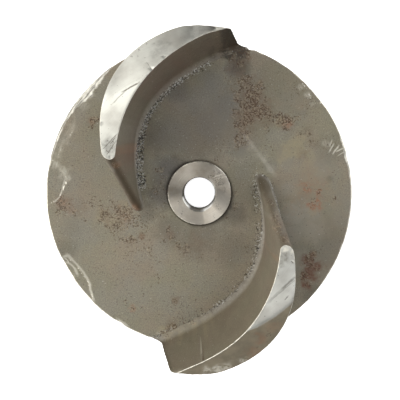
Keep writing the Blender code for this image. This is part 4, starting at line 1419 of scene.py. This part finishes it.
def turned_hub(colours):
    """Turned face of the hub: fine rings with a brushed sheen that fans out from the axis, and a
    painted sheen by angle.
    """
    skin = Skin("turned_hub", colours)
    rings = skin.group(lathe_rings(), {"Rings": 2200.0})
    cloud = skin.cloud(90.0, 12.0, 0.35, 0.7, roughness=0.5)
    skin.start(cloud, "hub", "hub_dull")
    skin.shade(skin.plus(1.0, rings["Tone"], 0.4))
    # Painted sheen: the hub face lighter or darker by angle, as its tool marks catch the light.
    skin.shade(skin.value("painted_sheen"))
    lines = skin.scratches(HUB_SCRATCHES)
    skin.layers(
        ("hub_stain", "smudge", 0.6),
        ("stain", skin.curls("scale", 520.0, 4.0)["Dark"], 0.6),
        ("bright", lines, 0.8),
        # Bright edge of the hub face: wear and painted glints.
        ("bright", skin.group(worn_metal(), {"Wear": skin.value("bare")})[0], 0.85),
    )
    # The hole's chamfer and wall are painted: glints as painted highlights, the rest as painted
    # shade.
    cut = skin.value("cut")
    chamfer = skin.mix(skin.value("painted_glint"), skin.paint("hole_dark"), skin.paint("painted_glint"))
    skin.base = skin.mix(cut, skin.base, chamfer)
    roughness = skin.step(skin.math("MAXIMUM", cloud, cut), 0.0, 1.0, 0.28, 0.4)
    metallic = skin.step(cut, 0.0, 1.0, 1.0, 0.1)
    height = skin.minus(rings["Height"], lines)
    return skin.finish(metallic, roughness, 0.1, 0.0002, height, spread=0.85)


def turned_bore(colours):
    """Turned rear face and shaft bore."""
    skin = Skin("turned_bore", colours)
    rings = skin.group(lathe_rings(), {"Rings": 1500.0})
    stain = skin.cloud(70.0, 13.0, 0.45, 0.75)
    skin.start(skin.times(stain, 0.5), "hub", "rust_brown")
    skin.shade(skin.plus(0.95, rings["Tone"], 0.4))
    return skin.finish(0.9, 0.4, 0.12, 0.0002, rings["Height"])


# Stage


def toward(azimuth, elevation):
    """Unit vector of an azimuth from +X and an elevation, in degrees."""
    a, e = math.radians(azimuth), math.radians(elevation)
    return Vector((math.cos(a) * math.cos(e), math.sin(a) * math.cos(e), math.sin(e)))


def studio_lights():
    """Square soft lights that look at the object from the listed directions."""
    for number, (azimuth, elevation, power, colour) in enumerate(LIGHTS):
        lamp = bpy.data.lights.new(f"soft_light_{number + 1}", "AREA")
        lamp.shape = "SQUARE"
        lamp.size = LIGHT_SIZE
        lamp.energy = power
        lamp.color = colour
        light = bpy.data.objects.new(lamp.name, lamp)
        way = toward(azimuth, elevation)
        light.location = way * LIGHT_DISTANCE
        light.rotation_euler = way.to_track_quat("Z", "Y").to_euler()
        bpy.context.scene.collection.objects.link(light)


def studio_world():
    """Pale backdrop that gives the object hardly any light."""
    world = bpy.data.worlds.new("studio_world")
    world.use_nodes = True
    net = Net(world.node_tree)
    seen = net.add("ShaderNodeLightPath", out="Is Camera Ray")
    background = world.node_tree.nodes["Background"]
    net.feed(background.inputs["Color"], WHITE)
    net.feed(background.inputs["Strength"], net.plus(WORLD_GLOW, seen, FLOOR_GLOW))
    bpy.context.scene.world = world


def studio_floor(colours):
    """Pale floor disc under the object, which looks lit from behind like a light table.

    Its rings run inwards, so that its faces point up.
    """
    angle = TURN * np.arange(FLOOR_COLUMNS) / FLOOR_COLUMNS
    points = round_axis(np.array(FLOOR_RADII)[:, None], angle, 0.0).reshape(-1, 3)
    faces = loop_quads(len(FLOOR_RADII), FLOOR_COLUMNS).tolist()
    faces.append(list(range(len(points) - FLOOR_COLUMNS, len(points))))
    mesh = bpy.data.meshes.new("studio_floor")
    mesh.from_pydata(points.tolist(), [], faces)
    skin = Skin("pale_floor", colours)
    seen = skin.add("ShaderNodeLightPath", out="Is Camera Ray")
    ends = {"Base Color": skin.paint("floor"), "Roughness": 0.8, "Emission Color": WHITE,
            "Emission Strength": skin.times(seen, FLOOR_GLOW)}
    for key, value in ends.items():
        skin.feed(skin.shader.inputs[key], value)
    floor = add_object("studio_floor", mesh, (skin.material,))


def studio_camera():
    """Camera straight above the disc, beside the axis, with the photograph's off-centre frame."""
    data = bpy.data.cameras.new("camera")
    data.sensor_width = 36.0
    data.lens = CAMERA_LENS
    data.shift_x, data.shift_y = CAMERA_SHIFT
    data.clip_start = 0.01
    camera = bpy.data.objects.new("camera", data)
    camera.location = CAMERA_PLACE
    bpy.context.scene.collection.objects.link(camera)
    bpy.context.scene.camera = camera


# Panel values and operators


class ImpellerSizes(PropertyGroup):
    """Sizes of the casting, in metres."""

    __annotations__ = {
        key: FloatProperty(name=label, description=text, default=size, unit="LENGTH")
        for key, (label, text, size) in SIZES.items()
    }


class ImpellerColours(PropertyGroup):
    """Colours of the casting's skins and of its bare metal."""

    __annotations__ = {
        key: FloatVectorProperty(
            name=label, description=text, subtype="COLOR", size=3, min=0.0, max=1.0,
            default=srgb(*screen))
        for key, (label, text, *screen) in COLOURS.items()
    }


class IMPELLER_OT_disc(Operator):
    """Make the cast disc with its worn rim, rear hub and shaft bore"""

    bl_idname = "impeller.disc"
    bl_label = "Disc"

    def execute(self, context):
        """Build the disc and put it on the casting's body."""
        colours = context.scene.impeller_colours
        surface = disc_surface(context.scene.impeller_sizes)
        materials = (disc_iron(colours), turned_bore(colours))
        casting_piece("impeller_disc", surface, materials)
        return {"FINISHED"}


class IMPELLER_OT_hub(Operator):
    """Make the turned hub boss with its hole"""

    bl_idname = "impeller.hub"
    bl_label = "Hub"

    def execute(self, context):
        """Build the hub boss and put it on the casting's body."""
        surface = hub_surface(context.scene.impeller_sizes)
        materials = (turned_hub(context.scene.impeller_colours),)
        casting_piece("hub_boss", surface, materials, 25.0)
        return {"FINISHED"}


class IMPELLER_OT_vanes(Operator):
    """Make both vanes with their turned tops"""

    bl_idname = "impeller.vanes"
    bl_label = "Vanes"

    def execute(self, context):
        """Build two vanes half a turn apart and put them on the casting's body."""
        colours = context.scene.impeller_colours
        materials = (vane_iron(colours), edge_metal(colours), turned_top(colours))
        for number in range(2):
            surface = vane_surface(number, context.scene.impeller_sizes)
            casting_piece(f"vane_{number + 1}", surface, materials)
        return {"FINISHED"}


class IMPELLER_OT_stage(Operator):
    """Make the pale floor, the soft light and the camera"""

    bl_idname = "impeller.stage"
    bl_label = "Stage"

    def execute(self, context):
        """Build the studio round the object."""
        studio_world()
        studio_floor(context.scene.impeller_colours)
        studio_lights()
        studio_camera()
        context.scene.view_settings.view_transform = "Standard"
        return {"FINISHED"}


STEPS = (IMPELLER_OT_disc, IMPELLER_OT_hub, IMPELLER_OT_vanes, IMPELLER_OT_stage)


class IMPELLER_PT_panel(Panel):
    """Sidebar panel with the buttons and the settings of the impeller"""

    bl_idname = "IMPELLER_PT_panel"
    bl_label = "Impeller"
    bl_space_type = "VIEW_3D"
    bl_region_type = "UI"
    bl_category = "Impeller"

    def draw(self, context):
        """List the operators, then the sizes and the colours."""
        for step in STEPS:
            self.layout.operator(step.bl_idname)
        scene = context.scene
        for settings, keys in ((scene.impeller_sizes, SIZES), (scene.impeller_colours, COLOURS)):
            box = self.layout.box()
            for key in keys:
                box.prop(settings, key)


CLASSES = (ImpellerSizes, ImpellerColours, *STEPS, IMPELLER_PT_panel)


def register():
    """Add the classes and the scene's settings."""
    for kind in CLASSES:
        bpy.utils.register_class(kind)
    bpy.types.Scene.impeller_sizes = PointerProperty(type=ImpellerSizes)
    bpy.types.Scene.impeller_colours = PointerProperty(type=ImpellerColours)


def unregister():
    """Remove the settings and the classes."""
    del bpy.types.Scene.impeller_colours
    del bpy.types.Scene.impeller_sizes
    for kind in reversed(CLASSES):
        bpy.utils.unregister_class(kind)


def main():
    """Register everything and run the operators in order."""
    register()
    bpy.ops.impeller.disc()
    bpy.ops.impeller.hub()
    bpy.ops.impeller.vanes()
    bpy.ops.impeller.stage()


if __name__ == "__main__":
    main()
